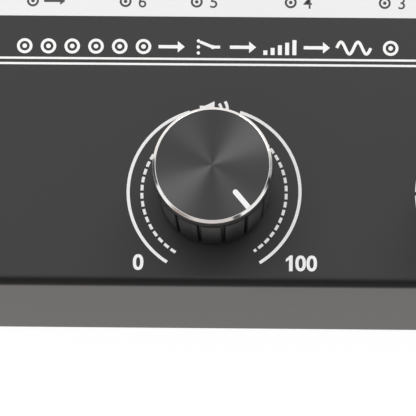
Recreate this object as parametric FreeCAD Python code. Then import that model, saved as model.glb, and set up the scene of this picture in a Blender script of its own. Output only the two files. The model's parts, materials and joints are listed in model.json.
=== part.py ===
# Audio source selector with a volume dial, in millimetres.
# +X right, +Y towards the rear, +Z up. The origin is the middle of the footprint at the feet.
import FreeCAD, Part
import math
import os

# Case
case_width = 156.0
case_depth = 66.0
case_height = 42.0
sheet = 1.0
bend_radius = 2.0
corner_radius = 1.2
base_gap = 0.3
flange_width = 10.0

# Feet and base screws
foot_height = 2.5
foot_radius = 6.0
foot_from_side = 20.0
foot_from_front = 12.0
foot_rim = 0.6
base_screw_from_front = 9.0
base_screw_radius = 1.5
base_screw_length = 4.0
base_screw_head_radius = 2.9
base_screw_head_height = 1.7
screw_hole_gap = 0.2

# Dials, seen from above
dial_pitch = 59.0
dial_from_front = 19.5
volume_clock = 140.0
volume_limit = 150.0
selector_positions = 6
selector_step = 45.0

# Knobs
knob_gap = 1.4
knob_height = 21.9
cap_radius = 12.0
cap_chamfer = 0.65
cap_side = 2.4
cap_spigot = 1.2
cap_spigot_inset = 2.4
body_ledge = 0.25
body_taper = 0.8
body_rim = 1.0
neck_height = 0.7
neck_inset = 0.2
knob_wall = 1.6
knob_roof = 2.0
knob_boss_wall = 2.0
knob_boss_lift = 0.8
knob_bore_spare = 0.8
knob_rib = 1.0
knob_rib_lift = 2.0
knob_rib_count = 6
groove_count = 15
groove_width = 0.7
groove_depth = 0.85
groove_turn = 5.2
pointer_start = 6.85
pointer_width = 0.95
pointer_depth = 0.2

# Shafts and what holds the controls in the top sheet
shaft_radius = 3.0
shaft_flat = 1.5
shaft_below_cap = 3.25
shaft_chamfer = 0.4
shaft_play = 0.03
shaft_collar = 1.0
collar_width = 1.4
drive_step = 0.5
drive_flat = 0.7
bushing_wall = 0.47
bushing_reach = 5.0
bushing_chamfer = 0.3
bushing_play = 0.1
washer_height = 0.6
washer_overhang = 1.2
washer_tooth_count = 12
washer_tooth = 0.8
nut_wall = 1.5
nut_height = 2.0
nut_chamfer = 0.5
ring_height = 0.6
ring_gap = 0.1
ring_groove = 0.5
ring_width = 1.4
ring_opening = 60.0
tab_width = 2.8
tab_thickness = 1.2
tab_edge = 1.0
tab_gap = 0.1
stop_ring_gap = 0.5
stop_pin_radius = 0.7
stop_pin_root = 0.5
stop_groove_depth = 0.7
stop_slack = 0.5
running_gap = 0.1
rotor_gap = 0.5
drive_hole_gap = 0.4

# Volume control
volume_side = 17.0
volume_plate = 1.2
volume_wall = 1.1
volume_chamber = 4.5
volume_gangs = 2
volume_wafer = 1.0
volume_wafer_tail = 2.4
volume_rotor = 1.8
track_edge = 1.0
track_width = 1.4
track_height = 0.1
collector_gap = 0.5
collector_width = 0.7
wiper_leaf = 0.3
wiper_arm = 12.0
wiper_finger = 5.0
terminal_pitch = 5.0
terminal_width = 2.0
terminal_thickness = 0.5
terminal_reach = 3.6
terminal_seat = 2.2
terminal_eye_radius = 0.5
rivet_radius = 0.8
rivet_height = 0.9
cover_sheet = 0.5
cover_tab_width = 3.0
cover_tab_spread = 10.0
cover_tab_hook = 1.0

# Source selector switch
selector_radius = 12.0
selector_plate = 1.5
detent_chamber = 4.6
detent_wall = 2.6
detent_seat_depth = 0.5
detent_rotor_play = 1.2
detent_rotor = 3.6
ball_radius = 1.4
ball_play = 0.1
ball_bore_wall = 1.2
spring_radius = 1.1
spring_wire = 0.3
deck_chamber = 3.5
deck_wafer = 1.0
deck_count = 2
deck_wall = 1.6
deck_rotor_play = 1.4
deck_rotor = 1.5
deck_rear_cover = 1.2
deck_rear_rim = 0.5
contact_pad = 1.0
contact_strip = 0.4
contact_width = 1.2
contact_clear = 1.0
contact_tail = 4.5
common_width = 1.0
common_gap = 0.6
bridge_width = 1.6
bridge_foot = 0.8

# Phono sockets, in stacked pairs
jack_reach = 9.0
jack_pitch = 19.4
input_pairs = 5
output_from_left = 13.2
output_to_aux = 18.0
aux_to_inputs = 14.7
pair_spacing = 14.0
pair_width = 12.4
pair_depth = 10.0
pair_wall = 1.4
pair_below = 8.0
pair_above = 7.0
pair_chamfer = 0.8
sleeve_radius = 4.15
sleeve_wall = 0.5
sleeve_seat = 5.5
sleeve_root = 0.2
sleeve_gap = 0.15
sleeve_chamfer = 0.3
insulator_recess = 1.0
insulator_lip = 2.0
pin_bore_radius = 1.65
pin_spare = 0.2
contact_tube_wall = 0.2
contact_tube_length = 10.5
contact_rod_radius = 0.5
solder_pin_width = 1.0
solder_pin_thickness = 0.4
solder_pin_length = 1.0
solder_pin_spread = 3.0
strap_width = 2.0
jack_screw_radius = 1.3
jack_screw_length = 6.5
jack_screw_head_radius = 2.2
jack_screw_head_height = 1.5

# 3.5 mm socket
aux_body_width = 9.0
aux_body_height = 10.0
aux_body_depth = 10.0
aux_body_chamfer = 0.6
aux_nose_radius = 3.0
aux_nose_reach = 3.5
aux_nose_chamfer = 0.3
aux_bore_radius = 1.8
aux_bore_lip = 2.5
aux_bore_spare = 0.3
aux_back_wall = 1.0
aux_nut_radius = 4.0
aux_nut_height = 1.8
aux_nut_slot_width = 1.0
aux_nut_slot_depth = 0.6
aux_gap = 0.1
aux_lug_width = 1.2
aux_lug_thickness = 0.4
aux_lug_length = 2.4
aux_lug_root = 3.0
aux_lug_drop = 3.0
aux_lug_spread = 3.0

# Circuit board and leads
board = 1.6
board_depth = 17.0
board_margin = 4.0
board_gap = 0.4
lead_radius = 0.5
lead_bend = 2.0
lead_layer = 1.6
lead_straight = 0.4
lead_hole_radius = 0.3
lead_row_front = 15.0
lead_row_pitch = 2.4

# Screw drive
cross_width = 0.6
cross_depth = 0.9
cross_share = 0.6
crown_share = 0.55
screw_tip_share = 0.4

# Places that follow from the sizes above
front_y = -(case_depth + jack_reach) / 2
rear_y = front_y + case_depth
rear_inner_y = rear_y - sheet
left_x = -case_width / 2
right_x = case_width / 2
shell_bottom = foot_height
base_top = foot_height + sheet
panel_top = foot_height + case_height
panel_under = panel_top - sheet
dial_y = front_y + dial_from_front
dial_x = {"volume": -dial_pitch / 2, "selector": dial_pitch / 2}
knob_bottom = panel_top + knob_gap
knob_top = knob_bottom + knob_height
cap_bottom = knob_top - cap_chamfer - cap_side
body_top_radius = cap_radius + body_ledge
body_bottom_radius = body_top_radius - body_taper
neck_radius = body_top_radius - groove_depth - neck_inset
shaft_top = cap_bottom - shaft_below_cap
bushing_radius = shaft_radius + shaft_play + bushing_wall
bushing_top = panel_top + bushing_reach
nut_corner = (bushing_radius + nut_wall) * 2 / math.sqrt(3)
ring_bottom = bushing_top + ring_gap
boss_bottom = ring_bottom + ring_height + knob_boss_lift
drive_radius = shaft_radius - drive_step
stop_radius = shaft_radius + collar_width + stop_ring_gap + stop_pin_radius
pair_height = pair_below + pair_spacing + pair_above
root_radius = sleeve_radius + sleeve_root
contact_tube_inner = pin_bore_radius + pin_spare
contact_tube_outer = contact_tube_inner + contact_tube_wall
board_top = (base_top + panel_under + solder_pin_length + board - pair_height) / 2
board_under = board_top - board
socket_heights = [board_top + pair_below, board_top + pair_below + pair_spacing]
socket_middle = sum(socket_heights) / 2
board_rear_y = rear_inner_y - board_gap
lead_rows = [board_rear_y - lead_row_front, board_rear_y - lead_row_front + lead_row_pitch]
output_x = left_x + output_from_left
aux_x = output_x + output_to_aux
pair_x = {"output": output_x}
for number in range(input_pairs, 0, -1):
    pair_x["input_%d" % number] = aux_x + aux_to_inputs + jack_pitch * (input_pairs - number)
volume_chamber_radius = volume_side / 2 - volume_wall
volume_rotor_radius = volume_chamber_radius - rotor_gap
track_outer = volume_chamber_radius - track_edge
track_inner = track_outer - track_width
collector_outer = track_inner - collector_gap
collector_inner = collector_outer - collector_width
selector_first = -selector_step * (selector_positions - 1) / 2
selector_last = selector_step * (selector_positions - 1) / 2
selector_clocks = [selector_first + selector_step * step for step in range(selector_positions)]
common_clock = 180
detent_crest_radius = selector_radius - detent_wall
detent_rotor_radius = detent_crest_radius - detent_rotor_play
ball_bore_start = drive_radius + ball_bore_wall
ball_centre_radius = detent_crest_radius - ball_radius - ball_play
deck_rotor_radius = selector_radius - deck_wall - deck_rotor_play
contact_radius = deck_rotor_radius - contact_pad
contact_outer_radius = selector_radius + contact_clear
common_inner = drive_radius + drive_hole_gap + common_gap

UP = FreeCAD.Vector(0, 0, 1)
REARWARD = FreeCAD.Vector(0, 1, 0)
REACH_PAST = 1.0


def point(x, y, z):
    return FreeCAD.Vector(x, y, z)


def polar(x, y, radius, clock):
    """Place at a clock angle, in degrees clockwise from twelve o'clock seen from above."""
    angle = math.radians(clock)
    return x + radius * math.sin(angle), y + radius * math.cos(angle)


def block(x0, x1, y0, y1, z0, z1):
    """Box between two values on each axis, given in either order."""
    low = point(min(x0, x1), min(y0, y1), min(z0, z1))
    return Part.makeBox(abs(x1 - x0), abs(y1 - y0), abs(z1 - z0), low)


def disc(x, y, z0, z1, radius):
    return Part.makeCylinder(radius, z1 - z0, point(x, y, z0), UP)


def ring(x, y, z0, z1, outer, inner):
    return disc(x, y, z0, z1, outer).cut(disc(x, y, z0, z1, inner))


def hole(x, y, z0, z1, radius):
    """Upright cutter that runs a little past both faces."""
    return disc(x, y, z0 - REACH_PAST, z1 + REACH_PAST, radius)


def rod(x, z, y0, y1, radius):
    return Part.makeCylinder(radius, y1 - y0, point(x, y0, z), REARWARD)


def tube(x, z, y0, y1, outer, inner):
    return rod(x, z, y0, y1, outer).cut(rod(x, z, y0, y1, inner))


def rear_hole(x, z, y0, y1, radius):
    """Level cutter that runs a little past both faces."""
    return rod(x, z, y0 - REACH_PAST, y1 + REACH_PAST, radius)


def turned(shape, x, y, clock):
    """The shape turned clockwise about the upright line through x, y."""
    copy = shape.copy()
    copy.rotate(point(x, y, 0), UP, -clock)
    return copy


def moved(shape, x, y, z):
    copy = shape.copy()
    copy.translate(point(x, y, z))
    return copy


def sector(x, y, z0, z1, outer, inner, clock_from, clock_to):
    """A ring's stretch between two clock angles."""
    wedge = Part.makeCylinder(outer, z1 - z0, point(0, 0, z0), UP, clock_to - clock_from)
    wedge = wedge.cut(disc(0, 0, z0, z1, inner))
    wedge.rotate(point(0, 0, 0), UP, 90 - clock_to)
    return moved(wedge, x, y, 0)


def arc_slot(x, y, z0, z1, radius, half, clock_from, clock_to):
    """Cutter for a curved slot with round ends, half as wide to each side of its radius."""
    def place(reach, clock, ahead=0.0):
        px, py = polar(x, y, reach, clock)
        along = math.radians(clock)
        return point(px + ahead * math.cos(along), py - ahead * math.sin(along), z0)

    middle = (clock_from + clock_to) / 2
    outer, inner = radius + half, radius - half
    edges = [Part.Arc(place(outer, clock_from), place(outer, middle), place(outer, clock_to)),
             Part.Arc(place(outer, clock_to), place(radius, clock_to, half), place(inner, clock_to)),
             Part.Arc(place(inner, clock_to), place(inner, middle), place(inner, clock_from)),
             Part.Arc(place(inner, clock_from), place(radius, clock_from, -half), place(outer, clock_from))]
    face = Part.Face(Part.Wire([edge.toShape() for edge in edges]))
    return face.extrude(point(0, 0, z1 - z0))


def hexagon(x, y, z0, z1, corner):
    corners = []
    for step in range(7):
        angle = math.radians(60 * step)
        corners.append(point(x + corner * math.cos(angle), y + corner * math.sin(angle), z0))
    return Part.Face(Part.makePolygon(corners)).extrude(point(0, 0, z1 - z0))


def fused(shapes):
    whole = shapes[0].fuse(shapes[1:]) if len(shapes) > 1 else shapes[0]
    return whole.removeSplitter()


def edges_where(shape, test):
    return [edge for edge in shape.Edges if test(edge.BoundBox)]


def lowest(shape):
    bottom = shape.BoundBox.ZMin
    return edges_where(shape, lambda b: b.ZMax < bottom + 0.01)


def highest(shape):
    top = shape.BoundBox.ZMax
    return edges_where(shape, lambda b: b.ZMin > top - 0.01)


def rearmost(shape):
    end = shape.BoundBox.YMax
    return edges_where(shape, lambda b: b.YMin > end - 0.01)


def save(name, shapes):
    """Write one sub-part, as one solid or as several separate ones."""
    solids = []
    for shape in shapes if isinstance(shapes, list) else [shapes]:
        solids.extend(shape.Solids)
    whole = solids[0] if len(solids) == 1 else Part.makeCompound(solids)
    whole.exportStep("parts/" + name + ".step")


# Case


def base_screw_places():
    places = []
    inset = sheet + flange_width / 2
    for x in (left_x + inset, right_x - inset):
        for y in (front_y + base_screw_from_front, rear_y - base_screw_from_front):
            places.append((x, y))
    return places


def folded_box(inset, bend, corner):
    """The case's outline, drawn in by inset, with its top edges and upright corners rounded."""
    box = block(left_x + inset, right_x - inset, front_y + inset, rear_y - inset,
                shell_bottom, panel_top - inset)
    if corner > 0:
        box = box.makeFillet(corner, edges_where(box, lambda b: b.ZLength > case_height / 2))
    if bend > 0:
        box = box.makeFillet(bend, highest(box))
    return box


def tab_place(tab_radius):
    """Front and rear faces of a control's locating tab."""
    middle = dial_y + tab_radius
    return middle - tab_thickness / 2, middle + tab_thickness / 2


def control_holes(side, tab_radius):
    x = dial_x[side]
    half = tab_width / 2 + tab_gap
    y0, y1 = tab_place(tab_radius)
    slot = block(x - half, x + half, y0 - tab_gap, y1 + tab_gap,
                 panel_under - REACH_PAST, panel_top + REACH_PAST)
    return [hole(x, dial_y, panel_under, panel_top, bushing_radius + bushing_play), slot]


def upper_shell():
    shell = folded_box(0, bend_radius, corner_radius)
    shell = shell.cut(folded_box(sheet, bend_radius - sheet, max(corner_radius - sheet, 0)))
    for outer, inner in ((left_x + sheet / 2, left_x + sheet + flange_width),
                         (right_x - sheet / 2, right_x - sheet - flange_width)):
        shell = shell.fuse(block(outer, inner, front_y + sheet / 2, rear_y - sheet / 2,
                                 base_top, base_top + sheet))
    holes = control_holes("volume", volume_tab_radius())
    holes += control_holes("selector", selector_tab_radius())
    for x, y in base_screw_places():
        holes.append(hole(x, y, base_top, base_top + sheet, base_screw_radius))
    for x in pair_x.values():
        for z in socket_heights:
            holes.append(rear_hole(x, z, rear_inner_y, rear_y, root_radius + sleeve_gap))
        holes.append(rear_hole(x, socket_middle, rear_inner_y, rear_y, jack_screw_radius + screw_hole_gap))
    holes.append(rear_hole(aux_x, socket_middle, rear_inner_y, rear_y, aux_nose_radius + aux_gap))
    return shell.cut(holes).removeSplitter()


def base_plate():
    inset = sheet + base_gap
    plate = block(left_x + inset, right_x - inset, front_y + inset, rear_y - inset, shell_bottom, base_top)
    return plate.cut([hole(x, y, shell_bottom, base_top, base_screw_radius + screw_hole_gap)
                      for x, y in base_screw_places()])


def pan_screw(radius, length, head_radius, head_height):
    """A pan head screw whose head faces -Z and seats at the origin, with its shank along +Z."""
    head = disc(0, 0, -head_height, 0, head_radius)
    head = head.makeFillet(head_height * crown_share, lowest(head))
    arm = head_radius * cross_share
    half = cross_width / 2
    recess = block(-arm, arm, -half, half, -head_height, cross_depth - head_height)
    recess = recess.fuse(block(-half, half, -arm, arm, -head_height, cross_depth - head_height))
    tip = Part.makeCone(radius, radius * screw_tip_share, radius, point(0, 0, length - radius), UP)
    return fused([head.cut(recess), disc(0, 0, 0, length - radius, radius), tip])


def base_screws():
    screw = pan_screw(base_screw_radius, base_screw_length, base_screw_head_radius, base_screw_head_height)
    return [moved(screw, x, y, shell_bottom) for x, y in base_screw_places()]


def rubber_feet():
    foot = disc(0, 0, 0, foot_height, foot_radius)
    foot = foot.makeFillet(foot_rim, lowest(foot))
    feet = []
    for x in (left_x + foot_from_side, right_x - foot_from_side):
        for y in (front_y + foot_from_front, rear_y - foot_from_front):
            feet.append(moved(foot, x, y, 0))
    return feet


# What both controls share. Each is drawn on its dial's centre and turned to its clock angle.


def bushing(side, plate, plate_height, tab_radius, clock_from, clock_to):
    """Front plate under the top sheet, with its bushing, locating tab and stop groove."""
    x = dial_x[side]
    under = panel_under - plate_height
    barrel = disc(x, dial_y, under, bushing_top, bushing_radius)
    barrel = barrel.makeChamfer(bushing_chamfer, highest(barrel))
    y0, y1 = tab_place(tab_radius)
    tab = block(x - tab_width / 2, x + tab_width / 2, y0, y1, under, panel_top - tab_gap)
    groove = arc_slot(x, dial_y, under - REACH_PAST, under + stop_groove_depth, stop_radius,
                      stop_pin_radius + stop_slack / 2, clock_from, clock_to)
    return fused([plate, barrel, tab]).cut([hole(x, dial_y, under, bushing_top, shaft_radius + shaft_play),
                                            groove])


def lock_washer(side):
    """A toothed ring between the top sheet and the nut."""
    x = dial_x[side]
    outer = nut_corner + washer_overhang
    top = panel_top + washer_height
    washer = ring(x, dial_y, panel_top, top, outer, bushing_radius + bushing_play)
    half = washer_tooth / 2
    notch = block(x - half, x + half, dial_y + outer - washer_tooth, dial_y + outer + REACH_PAST,
                  panel_top - REACH_PAST, top + REACH_PAST)
    pitch = 360.0 / washer_tooth_count
    return washer.cut([turned(notch, x, dial_y, pitch * step) for step in range(washer_tooth_count)])


def panel_nut(side):
    x = dial_x[side]
    bottom = panel_top + washer_height
    top = bottom + nut_height
    crown = disc(x, dial_y, bottom, top, nut_corner)
    crown = crown.makeChamfer(nut_chamfer, highest(crown))
    return hexagon(x, dial_y, bottom, top, nut_corner).common(crown).cut(hole(x, dial_y, bottom, top,
                                                                              bushing_radius))


def knob_flat(x, z0, z1, clock):
    """The stock that the shaft's flat leaves out, on the side away from the pointer."""
    edge = shaft_radius + REACH_PAST
    cut = block(x - edge, x + edge, dial_y - edge, dial_y - shaft_radius + shaft_flat, z0, z1)
    return turned(cut, x, dial_y, clock)


def drive(x, z0, z1, clock):
    """The shaft's lower end, a round with two flats, which is also the hole in each rotor."""
    flat = drive_radius - drive_flat
    keep = block(x - drive_radius, x + drive_radius, dial_y - flat, dial_y + flat, z0, z1)
    return turned(disc(x, dial_y, z0, z1, drive_radius).common(keep), x, dial_y, clock)


def shaft(side, plate_height, drive_bottom, clock):
    """Shaft with a flat for the knob, a ring groove, a collar under the plate and a flatted lower end."""
    x = dial_x[side]
    collar_top = panel_under - plate_height - running_gap
    collar_bottom = collar_top - shaft_collar
    body = fused([disc(x, dial_y, collar_bottom, shaft_top, shaft_radius),
                  disc(x, dial_y, collar_bottom, collar_top, shaft_radius + collar_width),
                  drive(x, drive_bottom, collar_bottom, clock)])
    body = body.makeChamfer(shaft_chamfer, highest(body))
    groove = ring(x, dial_y, ring_bottom, ring_bottom + ring_height, shaft_radius + REACH_PAST,
                  shaft_radius - ring_groove)
    return body.cut([groove, knob_flat(x, boss_bottom, shaft_top + REACH_PAST, clock)])


def retaining_ring(side, clock):
    inner = shaft_radius - ring_groove
    half = ring_opening / 2
    return sector(dial_x[side], dial_y, ring_bottom, ring_bottom + ring_height, inner + ring_width, inner,
                  clock + half, clock + 360 - half)


def stop_pin(side, plate_height, rotor_top, clock):
    """The pin on a rotor that runs in the front plate's stop groove."""
    px, py = polar(dial_x[side], dial_y, stop_radius, clock)
    top = panel_under - plate_height + stop_groove_depth - running_gap
    return disc(px, py, rotor_top - stop_pin_root, top, stop_pin_radius)


# Knobs


def knob_hollow(x):
    """The space under the knob's roof, around its boss and ribs."""
    roof = cap_bottom - knob_roof
    radius = body_bottom_radius - groove_depth - knob_wall
    keep = [disc(x, dial_y, boss_bottom, roof + REACH_PAST, shaft_radius + knob_boss_wall)]
    rib = block(x - knob_rib / 2, x + knob_rib / 2, dial_y, dial_y + radius + REACH_PAST,
                boss_bottom + knob_rib_lift, roof + REACH_PAST)
    for step in range(knob_rib_count):
        keep.append(turned(rib, x, dial_y, 360.0 * step / knob_rib_count))
    return disc(x, dial_y, knob_bottom - REACH_PAST, roof, radius).cut(keep)


def knob_body(side, clock):
    x = dial_x[side]
    body = Part.makeCone(body_bottom_radius, body_top_radius, cap_bottom - knob_bottom,
                         point(x, dial_y, knob_bottom), UP)
    body = body.makeFillet(body_rim, lowest(body))
    body = body.fuse(disc(x, dial_y, cap_bottom - knob_roof / 2, cap_bottom + cap_spigot,
                          body_top_radius - cap_spigot_inset))
    bore = disc(x, dial_y, knob_bottom - REACH_PAST, shaft_top + knob_bore_spare, shaft_radius)
    cuts = [knob_hollow(x), bore.cut(knob_flat(x, knob_bottom - REACH_PAST, knob_top, clock))]
    neck = ring(x, dial_y, cap_bottom - neck_height, cap_bottom, body_top_radius + REACH_PAST, neck_radius)
    cuts.append(neck)
    floor = dial_y + body_bottom_radius - groove_depth
    groove = block(x - groove_width / 2, x + groove_width / 2, floor, dial_y + body_top_radius + REACH_PAST,
                   knob_bottom - groove_depth, cap_bottom)
    lean = math.degrees(math.atan2(body_taper, cap_bottom - knob_bottom))
    groove.rotate(point(x, floor, knob_bottom), point(1, 0, 0), -lean)
    for step in range(groove_count):
        cuts.append(turned(groove, x, dial_y, clock + groove_turn + 360.0 * step / groove_count))
    return body.cut(cuts)


def knob_cap(side, clock):
    """Metal cap with a bevelled edge and a shallow groove for the pointer."""
    x = dial_x[side]
    cap = disc(x, dial_y, cap_bottom, knob_top, cap_radius)
    cap = cap.makeChamfer(cap_chamfer, highest(cap))
    recess = disc(x, dial_y, cap_bottom - REACH_PAST, cap_bottom + cap_spigot,
                  body_top_radius - cap_spigot_inset)
    half = pointer_width / 2
    low, high = knob_top - pointer_depth, knob_top + REACH_PAST
    start = dial_y + pointer_start + half
    line = block(x - half, x + half, start, dial_y + cap_radius + REACH_PAST, low, high)
    line = line.fuse(disc(x, start, low, high, half))
    return cap.cut([recess, turned(line, x, dial_y, clock)])


# Volume control, two gangs under one front plate


def volume_tab_radius():
    return volume_side / 2 - tab_edge


def gang_top(gang):
    """Top of a gang's chamber. The gang after the last one stands for the rear cover."""
    return panel_under - volume_plate - gang * (volume_chamber + volume_wafer)


def gang_floor(gang):
    return gang_top(gang) - volume_chamber


def volume_square(z0, z1):
    x = dial_x["volume"]
    half = volume_side / 2
    return block(x - half, x + half, dial_y - half, dial_y + half, z0, z1)


def cover_tabs():
    """The rear cover's four tabs: the edge that each is on, as -1 or 1, and its place along that edge."""
    return [(edge, dial_y + end * cover_tab_spread / 2) for edge in (-1, 1) for end in (-1, 1)]


def volume_bushing():
    x = dial_x["volume"]
    notches = []
    for edge, y in cover_tabs():
        half = cover_tab_width / 2 + tab_gap
        notches.append(block(x + edge * (volume_side / 2 - cover_tab_hook - tab_gap),
                             x + edge * (volume_side / 2 + REACH_PAST), y - half, y + half,
                             panel_under - cover_sheet, panel_under + REACH_PAST))
    plate = volume_square(panel_under - volume_plate, panel_under).cut(notches)
    return bushing("volume", plate, volume_plate, volume_tab_radius(), -volume_limit, volume_limit)


def volume_housings():
    housings = []
    for gang in range(volume_gangs):
        shell = volume_square(gang_floor(gang), gang_top(gang))
        housings.append(shell.cut(hole(dial_x["volume"], dial_y, gang_floor(gang), gang_top(gang),
                                       volume_chamber_radius)))
    return housings


def volume_track_boards():
    x = dial_x["volume"]
    half = terminal_pitch + terminal_width
    edge = dial_y + volume_side / 2
    wafers = []
    for gang in range(volume_gangs):
        top = gang_floor(gang)
        bottom = top - volume_wafer
        tail = block(x - half, x + half, edge - REACH_PAST, edge + volume_wafer_tail, bottom, top)
        wafer = fused([volume_square(bottom, top), tail])
        wafers.append(wafer.cut(hole(x, dial_y, bottom, top, drive_radius + drive_hole_gap)))
    return wafers


def volume_tracks():
    x = dial_x["volume"]
    tracks = []
    for gang in range(volume_gangs):
        bottom = gang_floor(gang)
        top = bottom + track_height
        tracks.append(sector(x, dial_y, bottom, top, track_outer, track_inner, -volume_limit, volume_limit))
        tracks.append(ring(x, dial_y, bottom, top, collector_outer, collector_inner))
    return tracks


def volume_terminals():
    x = dial_x["volume"]
    edge = dial_y + volume_side / 2 + volume_wafer_tail
    half = terminal_width / 2
    terminals = []
    for gang in range(volume_gangs):
        bottom = gang_floor(gang)
        top = bottom + terminal_thickness
        for step in (-1, 0, 1):
            middle = x + step * terminal_pitch
            strip = block(middle - half, middle + half, edge - terminal_seat, edge + terminal_reach,
                          bottom, top)
            eye = hole(middle, edge + terminal_reach - terminal_width, bottom, top, terminal_eye_radius)
            rivet = disc(middle, edge - terminal_seat + half, bottom, bottom + rivet_height, rivet_radius)
            terminals.append(fused([strip.cut(eye), rivet]))
    return terminals


def volume_rear_cover():
    """Steel plate under the stack, with tabs that run up its sides and hook over the front plate."""
    x = dial_x["volume"]
    top = gang_top(volume_gangs)
    bottom = top - cover_sheet
    pieces = [volume_square(bottom, top)]
    for edge, y in cover_tabs():
        y0, y1 = y - cover_tab_width / 2, y + cover_tab_width / 2
        face = x + edge * volume_side / 2
        outer = face + edge * cover_sheet
        pieces.append(block(face, outer, y0, y1, bottom, panel_under))
        pieces.append(block(face - edge * cover_tab_hook, outer, y0, y1,
                            panel_under - cover_sheet, panel_under))
    return fused(pieces)


def volume_rotor_top(gang):
    first = panel_under - volume_plate - running_gap - shaft_collar
    return first - gang * (volume_chamber + volume_wafer)


def volume_rotors():
    x = dial_x["volume"]
    rotors = []
    for gang in range(volume_gangs):
        top = volume_rotor_top(gang)
        bottom = top - volume_rotor
        rotor = disc(x, dial_y, bottom, top, volume_rotor_radius)
        if gang == 0:
            rotor = rotor.fuse(stop_pin("volume", volume_plate, top, volume_clock))
        rotors.append(rotor.cut(drive(x, bottom - REACH_PAST, top + REACH_PAST, volume_clock)))
    return rotors


def volume_wipers():
    """A leaf under each rotor with one finger on the track and one on the collector ring."""
    x = dial_x["volume"]
    wipers = []
    for gang in range(volume_gangs):
        top = volume_rotor_top(gang) - volume_rotor
        tip = gang_floor(gang) + track_height + running_gap
        pieces = [sector(x, dial_y, top - wiper_leaf, top, track_outer, collector_inner,
                         volume_clock - wiper_arm, volume_clock + wiper_arm)]
        for outer, inner in ((track_outer, track_inner), (collector_outer, collector_inner)):
            pieces.append(sector(x, dial_y, tip, top, outer, inner,
                                 volume_clock - wiper_finger, volume_clock + wiper_finger))
        wipers.append(fused(pieces))
    return wipers


# Source selector switch: a detent ring over two decks, one deck for each channel


def selector_tab_radius():
    return selector_radius - tab_edge - tab_thickness


def detent_top():
    return panel_under - selector_plate


def deck_top(deck):
    """Top of a deck's chamber. The deck after the last one stands for the rear cover."""
    return detent_top() - detent_chamber - deck * (deck_chamber + deck_wafer)


def deck_floor(deck):
    return deck_top(deck) - deck_chamber


def selector_bushing():
    plate = disc(dial_x["selector"], dial_y, detent_top(), panel_under, selector_radius)
    return bushing("selector", plate, selector_plate, selector_tab_radius(), selector_first, selector_last)


def selector_detent_housing():
    """Ring with a seat for the balls at every step all the way round."""
    x = dial_x["selector"]
    top = detent_top()
    bottom = top - detent_chamber
    seats = []
    for step in range(int(360 / selector_step)):
        clock = selector_first + selector_step * step
        px, py = polar(x, dial_y, ball_centre_radius + detent_seat_depth, clock)
        seats.append(hole(px, py, bottom, top, ball_radius + ball_play))
    return ring(x, dial_y, bottom, top, selector_radius, detent_crest_radius).cut(seats)


def detent_rotor_top():
    return detent_top() - running_gap - shaft_collar


def ball_height():
    return detent_rotor_top() - detent_rotor / 2


def ball_clocks():
    return [selector_first, selector_first + 180]


def lying_rods(radius, inner, outer):
    """Rods that lie along the detent rotor's two ball bores."""
    x = dial_x["selector"]
    shape = Part.makeCylinder(radius, outer - inner, point(x, dial_y + inner, ball_height()), REARWARD)
    return [turned(shape, x, dial_y, clock) for clock in ball_clocks()]


def selector_detent_rotor():
    x = dial_x["selector"]
    top = detent_rotor_top()
    bottom = top - detent_rotor
    rotor = disc(x, dial_y, bottom, top, detent_rotor_radius)
    rotor = rotor.fuse(stop_pin("selector", selector_plate, top, selector_first))
    cuts = lying_rods(ball_radius, ball_bore_start, detent_rotor_radius + REACH_PAST)
    cuts.append(drive(x, bottom - REACH_PAST, top + REACH_PAST, selector_first))
    return rotor.cut(cuts)


def selector_detent_balls():
    balls = []
    for clock in ball_clocks():
        px, py = polar(dial_x["selector"], dial_y, ball_centre_radius, clock)
        balls.append(Part.makeSphere(ball_radius, point(px, py, ball_height())))
    return balls


def selector_detent_springs():
    """Springs behind the balls, as sleeves of the coil's size that reach each ball."""
    inner = spring_radius - spring_wire
    outer_end = ball_centre_radius
    springs = []
    for sleeve, hollow, ball in zip(lying_rods(spring_radius, ball_bore_start, outer_end),
                                    lying_rods(inner, ball_bore_start - REACH_PAST, outer_end + REACH_PAST),
                                    selector_detent_balls()):
        springs.append(sleeve.cut([hollow, ball]))
    return springs


def selector_spacers():
    """Moulded rings between the decks. The upper one has slots where its contacts leave."""
    x = dial_x["selector"]
    inner = selector_radius - deck_wall
    clocks = selector_clocks + [common_clock]
    spacers = []
    for deck in range(deck_count):
        bottom = deck_floor(deck)
        spacer = ring(x, dial_y, bottom, deck_top(deck), selector_radius, inner)
        if deck == 0:
            half = contact_width / 2
            slot = block(x - half, x + half, dial_y + inner - REACH_PAST,
                         dial_y + selector_radius + REACH_PAST, bottom - REACH_PAST, bottom + contact_strip)
            spacer = spacer.cut([turned(slot, x, dial_y, clock) for clock in clocks])
        spacers.append(spacer)
    return spacers


def lower_pin_holes(z0, z1):
    holes = []
    for clock in selector_clocks + [common_clock]:
        px, py = polar(dial_x["selector"], dial_y, contact_radius, clock)
        holes.append(hole(px, py, z0, z1, contact_strip))
    return holes


def selector_wafers():
    wafers = []
    for deck in range(deck_count):
        top = deck_floor(deck)
        bottom = top - deck_wafer
        wafer = ring(dial_x["selector"], dial_y, bottom, top, selector_radius, drive_radius + drive_hole_gap)
        if deck == deck_count - 1:
            wafer = wafer.cut(lower_pin_holes(bottom, top))
        wafers.append(wafer)
    return wafers


def contact_tip():
    return deck_top(deck_count) - deck_rear_cover - contact_tail


def upper_contact(x, seat):
    """Strip on the upper wafer that leaves through the spacer and turns down beside the switch."""
    half = contact_width / 2
    outer = dial_y + contact_outer_radius
    top = seat + contact_strip
    strip = block(x - half, x + half, dial_y + contact_radius - contact_pad, outer, seat, top)
    tail = block(x - half, x + half, outer - contact_strip, outer, contact_tip(), top)
    return fused([strip, tail])


def lower_contact(x, seat):
    """Round head on the lower wafer with a pin straight down through the rear cover."""
    y = dial_y + contact_radius
    return fused([disc(x, y, seat, seat + contact_strip, contact_pad),
                  disc(x, y, contact_tip(), seat, contact_strip)])


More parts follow.
